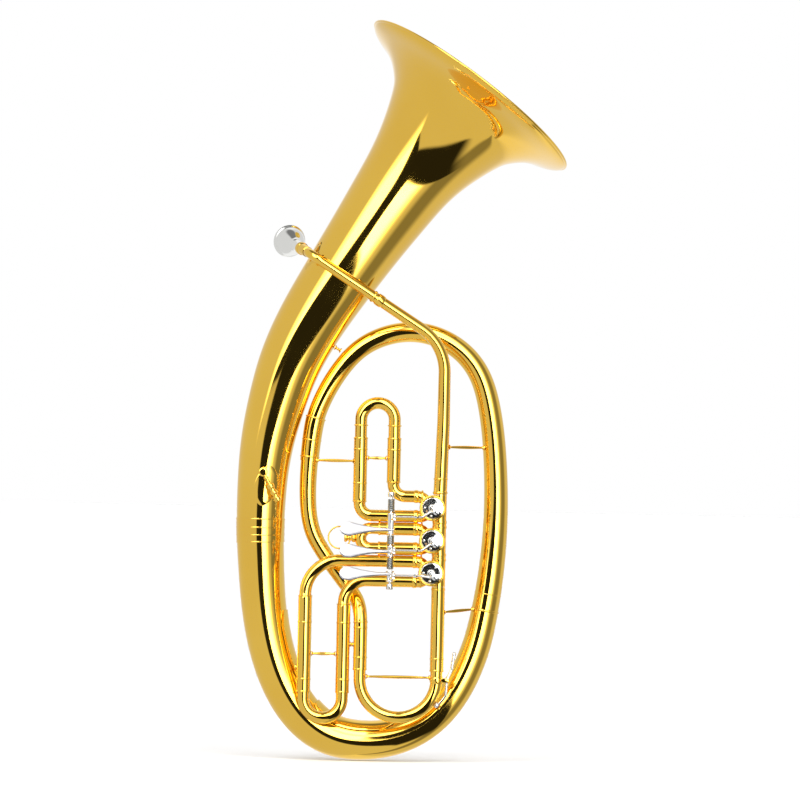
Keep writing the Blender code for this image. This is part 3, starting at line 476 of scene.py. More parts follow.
GOLD = metal_finish("lacquered_brass", (0.97, 0.62, 0.088), (0.93, 0.575, 0.075), 0.035, 0.075,
                    coat=0.3, ripple=0.03)
SILVER = metal_finish("nickel_silver", (0.86, 0.87, 0.86), (0.78, 0.80, 0.79), 0.05, 0.12,
                      coat=0.3, ripple=0.02)
PLATED = metal_finish("silver_plate", (0.93, 0.93, 0.90), (0.88, 0.88, 0.85), 0.04, 0.09,
                      coat=0.3)
PEARL = metal_finish("satin_silver", (0.66, 0.655, 0.68), (0.58, 0.575, 0.60), 0.27, 0.35,
                     coat=0.2)
STEEL = metal_finish("spring_steel", (0.42, 0.43, 0.42), (0.30, 0.31, 0.30), 0.22, 0.38,
                     grain=300.0)
CORK = metal_finish("cork", (0.42, 0.26, 0.13), (0.25, 0.14, 0.07), 0.75, 0.95, ripple=0.6,
                    grain=600.0)
CORK.node_tree.nodes["Principled BSDF"].inputs["Metallic"].default_value = 0.0


# ---- bell, bows and branch ----

def cone_run():
    """The whole conical tubing, from the bell's rim to the end of the branch."""
    rim = at(*CONE_STATIONS[0][:3])
    inward = (at(*CONE_STATIONS[1][:3]) - rim).normalized()
    stations = [(*(rim / MM + inward * depth), radius) for depth, radius in BELL_FLARE]
    return smooth_path(stations + CONE_STATIONS[BELL_JOIN:], CONE_STEPS)


CONE_PLACES, CONE_RADII = cone_run()


def cone_index(station):
    """Where a station, whole or between two, lies in the fine run."""
    return round((station - BELL_JOIN + len(BELL_FLARE)) * CONE_STEPS)


def cone_part(start, end):
    """The fine centre line and radii of the conical tubing between two stations."""
    part = slice(cone_index(start), cone_index(end) + 1)
    return CONE_PLACES[part], CONE_RADII[part]


def bead(place, way, radius, height=0.4, length=1.8):
    """A rounded ring standing proud of a tube."""
    half = length / 2
    outline = [(radius - 0.5, -half), (radius, -half)]
    for step in range(9):
        angle = math.pi * step / 8
        outline.append((radius + height * math.sin(angle), -half * math.cos(angle)))
    outline += [(radius, half), (radius - 0.5, half)]
    return turned(outline, place, way, 56)


def cone_bead(station, height=0.9, length=2.4, lift=0.0):
    """A bead round the conical tubing at a station, whole or between two."""
    index = cone_index(station)
    way = CONE_PLACES[index + 1] - CONE_PLACES[index - 1]
    return bead(CONE_PLACES[index], way, CONE_RADII[index] + lift, height, length)


def cone_sleeve(start, end, lift):
    """A thin sleeve round the conical tubing between two stations."""
    places, radii = cone_part(start, end)
    return tube(places, [radius + lift for radius in radii], 64, lift + 0.2)


def build_bell():
    part = slice(0, cone_index(BELL_END) + 1)
    body = tube(CONE_PLACES[part], CONE_RADII[part], 144, SHEET)
    inward = (CONE_PLACES[CONE_STEPS] - CONE_PLACES[0]).normalized()
    rolled = torus(CONE_PLACES[0] + inward * 0.9 * MM, inward, 139.3, 1.7, 160, 16)
    add_brass("bell_body", [body, rolled], "bell")


def build_cone_tubing():
    build_bell()
    for name, node, first, last, sides in (
            ("bottom_bow_tube", "bottom_bow", BELL_END, BOW_END, 96),
            ("upper_bow_tube", "upper_bow", BOW_END, LOOP_END, 64),
            ("inner_branch_tube", "inner_branch", LOOP_END, BRANCH_END, 56)):
        places, radii = cone_part(first, last)
        add_brass(name, [tube(places, radii, sides, SHEET)], node)
    add_brass("bell_joint", [cone_sleeve(10.75, 11.45, 0.5), cone_bead(10.8, 0.35, 1.6, 0.5),
                             cone_bead(11.0, 0.25, 1.4, 0.5), cone_bead(11.2, 0.25, 1.4, 0.5),
                             cone_bead(11.4, 0.35, 1.6, 0.5)], "bell_ferrule")
    add_brass("loop_joint", [cone_sleeve(34.55, 35.75, 0.7), cone_bead(34.6, 0.8, 2.0, 0.6),
                             cone_bead(35.3, 0.5, 1.6, 0.7), cone_bead(35.7, 0.8, 2.0, 0.6)],
              "loop_ferrule")
    add_brass("branch_joint", [cone_bead(43.6, 0.7, 2.0), cone_bead(23.0, 0.9, 2.6),
                               cone_bead(23.4, 0.4, 1.4)])


def guard_plate(start, end, lift, half_angle):
    """A curved plate with a thin rounded edge over the outer side of the bows."""
    places, radii = CONE_PLACES, CONE_RADII
    first, last = cone_index(start), cone_index(end)
    columns = 28
    rings = []
    for index in range(first, last + 1):
        ahead = (places[index + 1] - places[index - 1]).normalized()
        outward = ahead.cross(BACK).normalized()
        to_end = min(index - first, last - index) / 4
        narrow = math.sqrt(min(1.0, 0.55 + 0.45 * to_end))
        section = []
        for thickness in (lift, lift - 1.1):
            row = []
            for column in range(columns + 1):
                share = 2 * column / columns - 1
                angle = half_angle * narrow * share
                rim = 0.5 if abs(share) == 1 else 0.0
                reach = radii[index] + thickness - (rim if thickness == lift else -0.2)
                spread = outward * math.cos(angle) + BACK * math.sin(angle)
                row.append(places[index] + spread * reach * MM)
            section.append(row)
        rings.append(section[0] + section[1][::-1])
    return skin(rings)


def build_guards():
    add_brass("bow_guard_plate", [guard_plate(16.0, 19.0, 2.0, math.radians(56))], "bow_guard",
              angle=50)
    add_brass("side_guard_plate", [guard_plate(13.3, 15.4, 1.3, math.radians(48))], angle=50)


# ---- valves ----

def port_path(height, side, start):
    """From a casing's wall along a diagonal, then level at the height of its slide tube."""
    corner = abs(side)
    way = 1 if side > 0 else -1
    inner = in_row(VALVE_X - start, height + way * start)
    bend = in_row(VALVE_X - corner, height + side)
    return bent_path([inner, bend, in_row(STUB_X, height + side)], 12.0, 10)


def build_casing(number, height):
    """The casing with its rim, and its tubes towards the main line and the slide."""
    front = at(VALVE_X, VALVE_Y - CASING_HALF_LENGTH, height)
    length = 2 * CASING_HALF_LENGTH
    radius = CASING_RADIUS
    outline = rounded([
        (13.0, length), (13.0, 1.0), (13.3, 0), (radius + 0.3, 0), (radius + 0.3, 1.6),
        (radius - 0.2, 2.2), (radius - 0.2, 3.6), (radius + 0.3, 4.2), (radius + 0.3, 5.4),
        (radius - 0.3, 6.2), (radius - 0.3, length - 4), (radius + 0.1, length - 3),
        (radius + 0.1, length), (13.0, length)], 0.35)
    shell = turned(outline, front, BACK, 72)
    above = in_row(MAIN_X, height + STUB_HEIGHT)
    below = in_row(MAIN_X, height - STUB_HEIGHT)
    ports = [tube(dense([above, below]), SLEEVE_RADIUS, 48),
             tube(port_path(height, PORT_UP, 11.2), PORT_RADIUS, 40),
             tube(port_path(height, -PORT_DOWN, 9.2), PORT_RADIUS, 40)]
    rings = [bead(in_row(STUB_X + 7, height + side), LEFT, PORT_RADIUS, 0.55, 2.2)
             for side in (PORT_UP, -PORT_DOWN)]
    rim = torus(front + BACK * 0.5 * MM, BACK, 13.75, 1.15, 96, 20)
    add_brass(f"valve_body_{number}", [shell, rim] + ports + rings, f"valve_casing_{number}")


def screw(place, way, radius=1.5, height=1.1, turn=0.4):
    """A round-headed screw with a cut slot, as a slotted dome."""
    outline = rounded([(0, height), (radius * 0.75, height * 0.85), (radius, height * 0.35),
                       (radius, 0), (0, 0)], 0.2)
    head = turned(outline, place, way, 28)
    across = way.orthogonal().normalized()
    across.rotate(Matrix.Rotation(turn, 3, way))
    rib = way.cross(across).normalized()
    ends = [place + way * height * MM * 1.02 + across * side * radius * 0.8 * MM
            for side in (-1, 1)]
    rail = [end + rib * side * 0.28 * MM for end in ends for side in (-1, 1)]
    groove = (rail + [point - way * 0.25 * MM for point in rail],
              [(0, 1, 3, 2), (4, 6, 7, 5), (0, 4, 5, 1), (2, 3, 7, 6), (0, 2, 6, 4), (1, 5, 7, 3)])
    return [head, groove]


def build_valve_front(number, height):
    """The silver bearing plate with its rim, bumpers and screws."""
    back = at(VALVE_X, VALVE_Y - PLATE_SEAT, height)
    plate = lathe([(2.5, PLATE_FACE), (3.4, 3.6), (4.6, PLATE_FACE), (11.6, PLATE_FACE),
                   (12.0, 2.5), (PLATE_RADIUS, 2.5), (PLATE_RADIUS, 0), (2.5, 0),
                   (2.5, PLATE_FACE)], back, FRONT, 72, 0.2)
    face = back + FRONT * PLATE_FACE * MM
    low = arc(face, STOP_PLATE_RADIUS, 0, 180, 24)
    high = [point + FRONT * STOP_PLATE_THICKNESS * MM for point in low]
    stop_plate = skin([low, high])
    tilt = (Matrix.Translation(face) @ spin("Y", STOP_PLATE_TURNS[number - 1])
            @ Matrix.Translation(-face))
    fixings = []
    for angle in (55, 178, 262):
        place = polar(face, SCREW_CIRCLE, angle)
        fixings += screw(place + FRONT * 0.9 * MM, FRONT, 1.5, 0.9, angle)
    add_piece(f"bearing_face_{number}", [plate, moved(stop_plate, tilt)] + fixings, SILVER,
              "frame", [f"bearing_plate_{number}"])
    bumpers = []
    for angle in (-28, -152):
        place = polar(face, BUMPER_CIRCLE, angle)
        bumpers.append(drum(1.3, place, place + FRONT * 2.4 * MM, 0.3, 20))
    add_piece(f"bumper_{number}", bumpers, CORK, "frame")


def build_valve_back(number, height):
    """The screwed cap behind a casing, with a milled edge."""
    base = at(VALVE_X, VALVE_Y + CASING_HALF_LENGTH + 0.3, height)
    cap = lathe([(0, 9), (4, 9), (4.6, 7.2), (10, 6.6), (12.6, 6.9), (13.6, 6.2),
                 (14.8, 5.4), (14.8, 0), (0, 0)], base, BACK, 72, 0.4)
    ribs = []
    for index in range(CAP_RIBS):
        foot = polar(base, 14.9, 360 * index / CAP_RIBS)
        ribs.append(drum(0.45, foot + BACK * 0.8 * MM, foot + BACK * 4.6 * MM, 0.15, 8))
    add_brass(f"valve_back_{number}", [cap] + ribs, f"valve_cap_{number}")


def build_rotor(number, height):
    """The spindle's end with the stop arm, its pin and its screw; it turns with the rotor."""
    hub = at(VALVE_X, VALVE_Y - HUB_REACH, height)
    boss = at(PIN_X, VALVE_Y - HUB_REACH, height - CRANK_REACH)
    disc = lathe([(0, 3.0), (3.6, 3.0), (4.6, 2.2), (4.6, 0), (0, 0)], hub, FRONT)
    arm_end = lathe([(0, 3.3), (2.2, 3.3), (3.0, 2.6), (3.0, 0.2), (0, 0.2)], boss, FRONT)
    middle = (hub + boss) / 2 + FRONT * 1.6 * MM
    web = block(middle, (7.0, 2.4, 4.4), 0.6, spin("Y", 45))
    pin = drum(1.6, boss + FRONT * 1.5 * MM,
               at(PIN_X, LINK_Y + 1.3, height - CRANK_REACH), 0.2, 20)
    spindle = drum(2.2, at(VALVE_X, VALVE_Y - 12.0, height), hub + FRONT * 0.6 * MM, 0.2, 24)
    cover = screw(hub + FRONT * 3.0 * MM, FRONT, 2.4, 1.3, 0.9)
    add_piece(f"stop_crank_{number}", [disc, arm_end, web, pin, spindle] + cover, SILVER,
              f"rotor_{number}", [f"stop_arm_{number}"])


def build_link(number, height, link_height):
    """A bent silver rod between the lever's pin and the stop arm's pin."""
    eye = at(AXLE_X + CRANK_REACH, LINK_Y, link_height)
    head = at(PIN_X, LINK_Y, height - CRANK_REACH)
    knee = at(PIN_X - 16, LINK_Y, link_height)
    run = [eye + at(2, 0, 0), knee, at(PIN_X - 6, LINK_Y, height - CRANK_REACH), head]
    socket = lathe([(1.5, 1.5), (2.3, 1.5), (2.9, 0.7), (2.9, -0.7), (2.3, -1.5),
                    (1.5, -1.5), (1.5, 1.5)], eye, UP, 40)
    button = lathe([(0, 1.9), (1.6, 1.9), (2.2, 1.2), (3.4, 1.0), (3.4, -1.0), (0, -1.0)], head,
                   FRONT, 40)
    nut = lathe([(0, 0), (1.8, 0), (1.8, 5), (0, 5)], knee - at(9, 0, 0), -LEFT, 6)
    add_piece(f"link_rod_{number}", [socket, tube(bent_path(run, 4.0, 8), 1.1, 20), button, nut],
              SILVER, f"link_{number}", [f"link_{number}"])


def paddle_shape(height):
    """A crowned teardrop on a round shank, slanted away from the tubing."""
    belly, tip_centre, tip_radius = 50.0, 54.0, 9.0
    stations = [(-2.0, 1.6, 1.5), (3.0, 1.8, 1.5), (8.0, 1.9, 1.4)]
    for step in range(1, 22):
        share = step / 21
        along = 8.0 + (belly - 8.0) * share
        stations.append((along, 1.9 + 6.2 * share ** 1.7, 1.4 - 0.3 * share))
    for step in range(1, 15):
        angle = math.radians(63 - 63 * step / 14)
        stations.append((tip_centre + tip_radius * math.cos(angle) - 4.1 * math.sin(angle) ** 3,
                         tip_radius * math.sin(angle) + 0.02, 1.1 - 0.5 * step / 14))
    rings = []
    for along, half, depth in stations:
        ring = []
        for side in range(40):
            angle = 2 * math.pi * side / 40
            ring.append(at(-along, math.sin(angle) * depth, math.cos(angle) * half))
        rings.append(ring)
    slant = Matrix.Rotation(PADDLE_SLANT, 4, "Z")
    place = Matrix.Translation(at(AXLE_X, AXLE_Y, height)) @ slant
    return moved(skin(rings), place @ Matrix.Translation(at(0, -3.7, 0)))


def build_lever(number, span, paddle_height, link_height):
    """A paddle on its hub, with the short arm and the pin that take the link."""
    low, high = (at(AXLE_X, AXLE_Y, height) for height in span)
    length = span[1] - span[0]
    hub = lathe([(1.8, 0), (4.7, 0), (4.7, 1.4), (4.2, 1.9), (4.2, length - 1.9),
                 (4.7, length - 1.4), (4.7, length), (1.8, length), (1.8, 0)], low, UP, 48, 0.25)
    pin = at(AXLE_X + CRANK_REACH, LINK_Y, link_height)
    arm_height = link_height - 3.4
    foot = at(AXLE_X, AXLE_Y, arm_height)
    tip = at(AXLE_X + CRANK_REACH, LINK_Y, arm_height)
    along = (tip - foot).normalized()
    turn = Matrix.Rotation(LEVER_SWING / 2, 4, "Z")
    arm = block(foot + along * 12.0 * MM, (4.0, 18.0, 3.0), 0.9, turn)
    post = drum(1.0, tip, pin + UP * 3.2 * MM, 0.2, 16)
    cap = drum(1.7, pin + UP * 1.8 * MM, pin + UP * 3.0 * MM, 0.3, 24)
    add_piece(f"paddle_lever_{number}", [paddle_shape(paddle_height)], PEARL, f"lever_{number}",
              [f"lever_{number}"])
    add_piece(f"lever_hub_{number}", [hub, arm, post, cap], SILVER, f"lever_{number}")


def build_lever_rack():
    """The upright axle between two posts, each screwed to its foot."""
    top, bottom = 317.0, 203.0
    low, high = at(AXLE_X, AXLE_Y, bottom), at(AXLE_X, AXLE_Y, top)
    shapes = [drum(1.5, low, high, 0.2, 24)]
    for base, way, height in ((low, UP, 7.0), (high, -UP, 6.0)):
        shapes.append(lathe([(0, 0), (3.4, 0), (4.2, 0.8), (4.2, height - 1), (3.6, height),
                             (0, height)], base, way, 40))
        foot_height = (base + way * 3.2 * MM).z / MM
        shapes.append(block(at(AXLE_X, AXLE_Y + 2.9, foot_height), (6.0, 6.8, 5.0), 0.7))
        shapes += screw(at(AXLE_X, AXLE_Y - 4.1, foot_height), FRONT, 1.9, 1.0, 0.7)
    add_piece("lever_axle", shapes, SILVER, "frame", ["lever_rack"])


def build_lever_spring(number, span):
    low, high = span
    turns, per_turn, wire, radius = 11, 28, 0.5, 3.6
    points = []
    for step in range(turns * per_turn + 1):
        angle = 2 * math.pi * step / per_turn
        height = low + wire + (high - low - 2 * wire) * step / (turns * per_turn)
        points.append(at(AXLE_X + radius * math.cos(angle), AXLE_Y + radius * math.sin(angle),
                         height))
    add_piece(f"spring_coil_{number}", [tube(points, wire, 8)], STEEL, "frame",
              [f"lever_spring_{number}"])


def build_valves():
    """The three valves with their linkage, the knuckles between them and the lever rack."""
    each = zip(VALVE_HEIGHTS, LINK_HEIGHTS, PADDLE_HEIGHTS, HUB_SPANS, SPRING_SPANS)
    for number, (height, link, paddle, hub, spring) in enumerate(each, start=1):
        for build in (build_casing, build_valve_front, build_valve_back, build_rotor):
            build(number, height)
        build_link(number, height, link)
        build_lever(number, hub, paddle, link)
        build_lever_spring(number, spring)
    for number, (above, below) in enumerate(zip(VALVE_HEIGHTS, VALVE_HEIGHTS[1:]), start=1):
        top = in_row(MAIN_X, above - STUB_HEIGHT - 0.3)
        bottom = in_row(MAIN_X, below + STUB_HEIGHT + 0.3)
        length = (top - bottom).length / MM
        outline = rounded([(7.2, 0), (8.1, 0), (8.1, -1.2), (8.6, -1.2), (8.6, 1.4), (8.2, 2.0),
                           (8.2, length - 2.0), (8.6, length - 1.4), (8.6, length + 1.2),
                           (8.1, length + 1.2), (8.1, length), (7.2, length), (7.2, 0)], 0.15)
        add_brass(f"knuckle_{number}", [turned(outline, bottom, top - bottom, 56)],
                  f"valve_knuckle_{number}")
    build_lever_rack()


# ---- slides ----

def leg_rings(x, heights, radius=SLEEVE_RADIUS, big=0.4):
    """Beads round an upright leg; the first two make its end ferrule."""
    return [bead(in_row(x, height), UP, radius, big, 2.0) for height in heights]


def build_sleeve(name, leg, sleeve_end, level, bend, rings):
    """A slide's outer sleeve, narrowing into the tubing that bends round to its valve."""
    points = dense(bent_path([in_row(leg, sleeve_end), in_row(leg, level),
                              in_row(STUB_X - 0.3, level)], bend, 20))
    way = 1 if sleeve_end > level else -1
    bend_start = level + way * bend
    radii = []
    for point in points:
        past = max(0.0, min(1.0, (way * (point.z / MM - bend_start)) / 3.0))
        wide = past if abs(point.x / MM - leg) < 0.5 else 0.0
        radii.append(PORT_RADIUS + (SLEEVE_RADIUS - PORT_RADIUS) * wide)
    beads = leg_rings(leg, rings) + leg_rings(leg, [bend_start + way * 2.4], PORT_RADIUS, 1.5)
    beads.append(bead(in_row(STUB_X - 0.2, level), LEFT, PORT_RADIUS, 0.8, 5.0))
    add_brass(f"{name}_tube", [tube(points, radii, 40, TUBE_WALL)] + beads, name)


def build_first_slide():
    left, right = FIRST_LEGS
    upper = VALVE_HEIGHTS[0] + PORT_UP
    lower = VALVE_HEIGHTS[0] - PORT_DOWN
    build_sleeve("first_sleeve_left", left, 380.0, lower, 14.0, [378.8, 366.0, 326.5])
    build_sleeve("first_sleeve_right", right, 380.0, upper, 14.0, [378.8, 366.0])
    shapes = [tube(dense(u_path(left, right, 332.0, 400.7)), SLIDE_RADIUS, 40, TUBE_WALL)]
    for leg in FIRST_LEGS:
        shapes += leg_rings(leg, [394.0], SLIDE_RADIUS, 1.2)
    add_brass("first_slide_tube", shapes, "first_slide", body="first_slide")


def build_second_slide():
    upper = VALVE_HEIGHTS[1] + PORT_UP
    lower = VALVE_HEIGHTS[1] - PORT_DOWN
    for name, level in (("second_sleeve_top", upper), ("second_sleeve_bottom", lower)):
        ends = dense([in_row(10.0, level), in_row(STUB_X - 0.3, level)])
        rings = [bead(in_row(x, level), LEFT, SHORT_SLEEVE_RADIUS, 0.4, length)
                 for x, length in ((11.2, 2.2), (20.5, 1.8), (STUB_X - 0.2, 5.0))]
        add_brass(f"{name}_tube", [tube(ends, SHORT_SLEEVE_RADIUS, 40, 0.5)] + rings, name)
    middle = (upper + lower) / 2
    radius = (upper - lower) / 2
    bend_x, leg_end = 1.0, 46.0
    points = ([in_row(leg_end, upper)]
              + arc(in_row(bend_x, middle), radius, 90, 270, 28)
              + [in_row(leg_end, lower)])
    crown = in_row(bend_x - radius - 6.0, middle)
    knob = lathe([(0, 0), (4.2, 0), (5.4, 1.0), (5.6, 2.6), (4.2, 4.0), (3.2, 5.4),
                  (3.1, 8.4), (3.8, 9.4), (5.0, 10.2), (5.2, 11.8), (4.6, 13.0),
                  (0, 13.4)], crown, LEFT, 48, 0.5)
    add_brass("second_slide_tube", [tube(dense(points), SHORT_SLIDE_RADIUS, 40, TUBE_WALL), knob],
              "second_slide", body="second_slide")
    neck = crown - at(6.8, 0, 0)
    reach, ring_radius, open_angle = 3.5, 12.8, 22
    centre = neck - at(ring_radius * math.cos(math.radians(open_angle)), 0, 0)
    points = ([neck + at(0, 0, reach)]
              + arc(centre, ring_radius, open_angle, 360 - open_angle, 48)
              + [neck - at(0, 0, reach)])
    add_brass("pull_ring", [tube(points, 0.9, 16), ball(points[0], 1.3), ball(points[-1], 1.3)],
              "second_slide_ring", body="second_slide_ring")


def build_third_slide():
    left, right = THIRD_LEGS
    upper = VALVE_HEIGHTS[2] + PORT_UP
    lower = VALVE_HEIGHTS[2] - PORT_DOWN
    build_sleeve("third_sleeve_left", left, 81.0, upper, 40.0, [82.2, 96.8, 163.0])
    build_sleeve("third_sleeve_right", right, 81.0, lower, 26.0, [82.2, 96.8, 163.0])
    shapes = [tube(dense(u_path(left, right, 180.0, 74.2)), SLIDE_RADIUS, 40, TUBE_WALL)]
    add_brass("third_slide_tube", shapes, "third_slide", body="third_slide")


def build_tuning_slide():
    left, right = TUNING_LEGS
    for name, leg, top, last_ring in (
            ("tuning_sleeve_left", left, 157.2, 157.8),
            ("tuning_sleeve_right", right, VALVE_HEIGHTS[2] - STUB_HEIGHT - 0.3, 204.0)):
        ends = dense([in_row(leg, 108.0), in_row(leg, top)])
        add_brass(f"{name}_tube", [tube(ends, SLEEVE_RADIUS, 40, TUBE_WALL)]
                  + leg_rings(leg, [109.2, 123.0, last_ring]), name)
    line = dense(u_path(left, right, 152.0, TUNING_BEND_Z, 40))
    add_brass("tuning_slide_tube", [tube(line, SLIDE_RADIUS, 40, TUBE_WALL)], "tuning_slide",
              body="tuning_slide")


# ---- leadpipe, mouthpiece and fittings ----

def build_leadpipe():
    corners = [at(*corner) for corner in LEADPIPE_CORNERS] + [at(*LEADPIPE_END)]
    points = dense(bent_path(corners, LEADPIPE_BENDS, 24))
    radii = radii_along(points, 8.0, 5.6)
    add_brass("leadpipe_tube", [tube(points, radii, 48, SHEET)], "leadpipe")
    slope = at(*LEADPIPE_CORNERS[3]) - at(*LEADPIPE_CORNERS[2])
    way = slope.normalized()
    clamp = at(*LEADPIPE_CORNERS[2]) + slope * 0.535
    low = at(*LEADPIPE_CORNERS[2]) + slope * 0.49
    shapes = [bead(clamp, way, 6.3, 1.0, 3.0), bead(low, way, 6.5, 0.9, 9.0)]
    shapes += screw(low + at(0, -7.2, 0), FRONT, 1.6, 0.9)
    shapes += [bead(in_row(MAIN_X + 0.05, 317.0), UP, 8.0, 0.8, 3.0),
               bead(at(MAIN_X + 0.4, VALVE_Y - 0.2, 333.0), UP, 7.9, 0.6, 2.2)]
    add_brass("leadpipe_rings", shapes)


def build_mouthpiece():
    start = at(*LEADPIPE_END) + RECEIVER_DIRECTION * 0.3 * MM
    outline = rounded([(5.0, 0), (6.2, 0), (6.4, RECEIVER_LENGTH - 7), (7.4, RECEIVER_LENGTH - 6),
                       (7.6, RECEIVER_LENGTH - 3), (7.0, RECEIVER_LENGTH - 2.2),
                       (7.6, RECEIVER_LENGTH - 1.4), (7.5, RECEIVER_LENGTH),
                       (5.9, RECEIVER_LENGTH), (5.0, 0)], 0.4)
    add_brass("receiver_socket", [turned(outline, start, RECEIVER_DIRECTION, 56)],
              "mouthpiece_receiver")
    base = start + RECEIVER_DIRECTION * (RECEIVER_LENGTH - SHANK_LENGTH) * MM
    rim = SHANK_LENGTH + MOUTHPIECE_EXPOSED
    outer = [(15.4, rim), (17.6, rim - 0.1), (18.9, rim - 0.9), (19.3, rim - 2.2),
             (19.1, rim - 3.6), (17.9, rim - 4.9), (17.0, rim - 5.6), (16.9, rim - 6.6),
             (16.4, rim - 9.4), (15.2, rim - 13), (13.3, rim - 17), (11.0, rim - 20.6),
             (8.8, rim - 24), (7.6, rim - 26.6), (7.9, rim - 28.2), (7.2, rim - 29.4),
             (6.2, rim - 32), (5.9, rim - 38), (5.3, SHANK_LENGTH + 1), (4.5, 0)]
    inner = [(3.4, 0), (3.1, rim - 32), (4.4, rim - 29), (6.5, rim - 26), (8.8, rim - 21.4),
             (10.4, rim - 16.5), (11.7, rim - 11), (12.6, rim - 6), (13.4, rim - 1.8),
             (14.2, rim - 0.5), (15.4, rim)]
    add_piece("mouthpiece_cup", [turned(outer + inner, base, RECEIVER_DIRECTION, 96)], PLATED,
              "mouthpiece", ["mouthpiece"], angle=50)


def build_water_key():
    """The water key: a lever on a saddle, with a cork in its cup."""
    pivot = at(93.6, VALVE_Y - 2, 98.0)
    half = at(0, 3.2, 0)
    centre = in_row((TUNING_LEGS[0] + TUNING_LEGS[1]) / 2, TUNING_BEND_Z)
    bow_radius = (TUNING_LEGS[1] - TUNING_LEGS[0]) / 2
    outward = Vector((math.cos(PAD_ANGLE), 0.0, -math.sin(PAD_ANGLE)))
    pad = centre + outward * (bow_radius + SLIDE_RADIUS + 0.3) * MM
    run = [at(101.5, VALVE_Y - 2, 129.0), at(99.0, VALVE_Y - 2, 112.0), pivot,
           at(92.5, VALVE_Y - 1, 80.0), pad + outward * 3.5 * MM]
    arm = dense(bent_path(run, 6.0, 10), 2.0)
    widths = [2.0 - 0.6 * index / len(arm) for index in range(len(arm))]
    cup = lathe([(0, 4.6), (2.2, 4.6), (3.6, 3.4), (3.6, 1.4), (0, 1.4)], pad, outward, 40, 0.4)
    add_piece("water_key_lever", [drum(2.2, pivot - half, pivot + half, 0.4), cup,
                                  ball(run[0], 2.3), tube(arm, widths, 20)], SILVER,
              "water_key", ["water_key"])
    add_piece("water_key_cork", [drum(3.2, pad + outward * 0.1 * MM, pad + outward * 1.6 * MM,
                                      0.3)], CORK, "water_key")
    posts = [block(pivot + at(-2.6, side * 4.4, 0), (9.0, 1.6, 5.0), 0.5) for side in (-1, 1)]
    saddle = bead(in_row(TUNING_LEGS[1], 98.0), UP, SLIDE_RADIUS, 0.7, 8.0)
    add_brass("water_key_saddle", posts + [saddle], body="tuning_slide")


def bell_front(x, z, lift):
    """The point in front of the bell's lower side at x and z, lifted off its wall."""
    height = z * MM
    places, radii = cone_part(BELL_JOIN, BOW_END)
    for above, below, first, last in zip(places, places[1:], radii, radii[1:]):
        if below.z <= height:
            share = (above.z - height) / (above.z - below.z)
            middle = above.lerp(below, share).x / MM
            reach = first + (last - first) * share + lift
            return at(x, -math.sqrt(reach ** 2 - (x - middle) ** 2), z)


def build_lyre_holder():
    """A plate on the bell's lower side, a banded socket and a thumb screw."""
    lean = spin("Y", -29)
    middle_x, middle_z = -122.5, 321.0
    middle = in_row(middle_x, middle_z)
    down = (lean @ -UP).normalized()
    rings = []
    for share, lift in ((0.05, -0.4), (0.5, -0.4), (1.0, -0.4), (1.0, 0.5), (0.96, 0.9),
                        (0.8, 1.0), (0.6, 1.0), (0.4, 1.0), (0.2, 1.0), (0.02, 1.0)):
        ring = []
        for side in range(72):
            angle = 2 * math.pi * side / 72
            height = math.sin(angle)
            across = 15.5 * math.cos(angle) * (1 - 0.3 * height ** 2) + 4.0 * height
            ring.append(bell_front(middle_x + share * across, middle_z + share * 23.5 * height,
                                   lift))
        rings.append(ring)
    plate = skin(rings)
    socket_start = middle + at(4.5, -6.1, 2.0)
    socket = lathe([(2.3, 0), (4.0, 0), (4.4, 0.8), (4.4, 4.6), (3.3, 6.2), (3.3, 8.4),
                    (4.4, 10.0), (4.4, 12.2), (3.3, 13.8), (3.3, 16.0), (4.4, 17.6), (4.4, 22),
                    (2.3, 22), (2.3, 0)], socket_start, down, 40)
    web = block(socket_start + down * 11 * MM + at(0, 4.6, 0), (6, 8, 14), 0.8, lean)
    add_brass("lyre_plate", [plate, socket, web], "lyre_holder")
    shoulder = socket_start - down * 12 * MM
    head = shoulder - down * 4 * MM
    spade = lathe([(0, 1.1), (3.6, 1.1), (5.2, 0.6), (5.2, -0.6), (3.6, -1.1), (0, -1.1)],
                  head, BACK, 48, 0.4)
    stem = drum(1.9, shoulder, socket_start + down * 9 * MM, 0.3, 24)
    collar = drum(2.8, shoulder + down * 3 * MM, shoulder + down * 5 * MM, 0.4, 32)
    add_brass("lyre_thumb_screw", [spade, stem, collar], "lyre_screw", body="lyre_screw")


def brace_shape(start, start_radius, end, end_radius, gap=0.3):
    """A turned spindle between the surfaces of two tubes, with a flange at each end."""
    way = (end - start).normalized()
    foot = start + way * (start_radius + gap) * MM
    span = (end - start).length / MM - start_radius - end_radius - 2 * gap
    outline = [(0, 0), (3.1, 0), (3.1, 0.7), (2.4, 1.3), (1.5, 2.2), (1.3, 3.4)]
    swell = [(1.3 + 0.65 * math.sin(math.pi * step / 10), 3.4 + (span - 6.8) * step / 10)
             for step in range(1, 10)]
    tail = [(radius, span - along) for radius, along in reversed(outline)]
    return lathe(outline + swell + tail, foot, way, 28, 0.25)


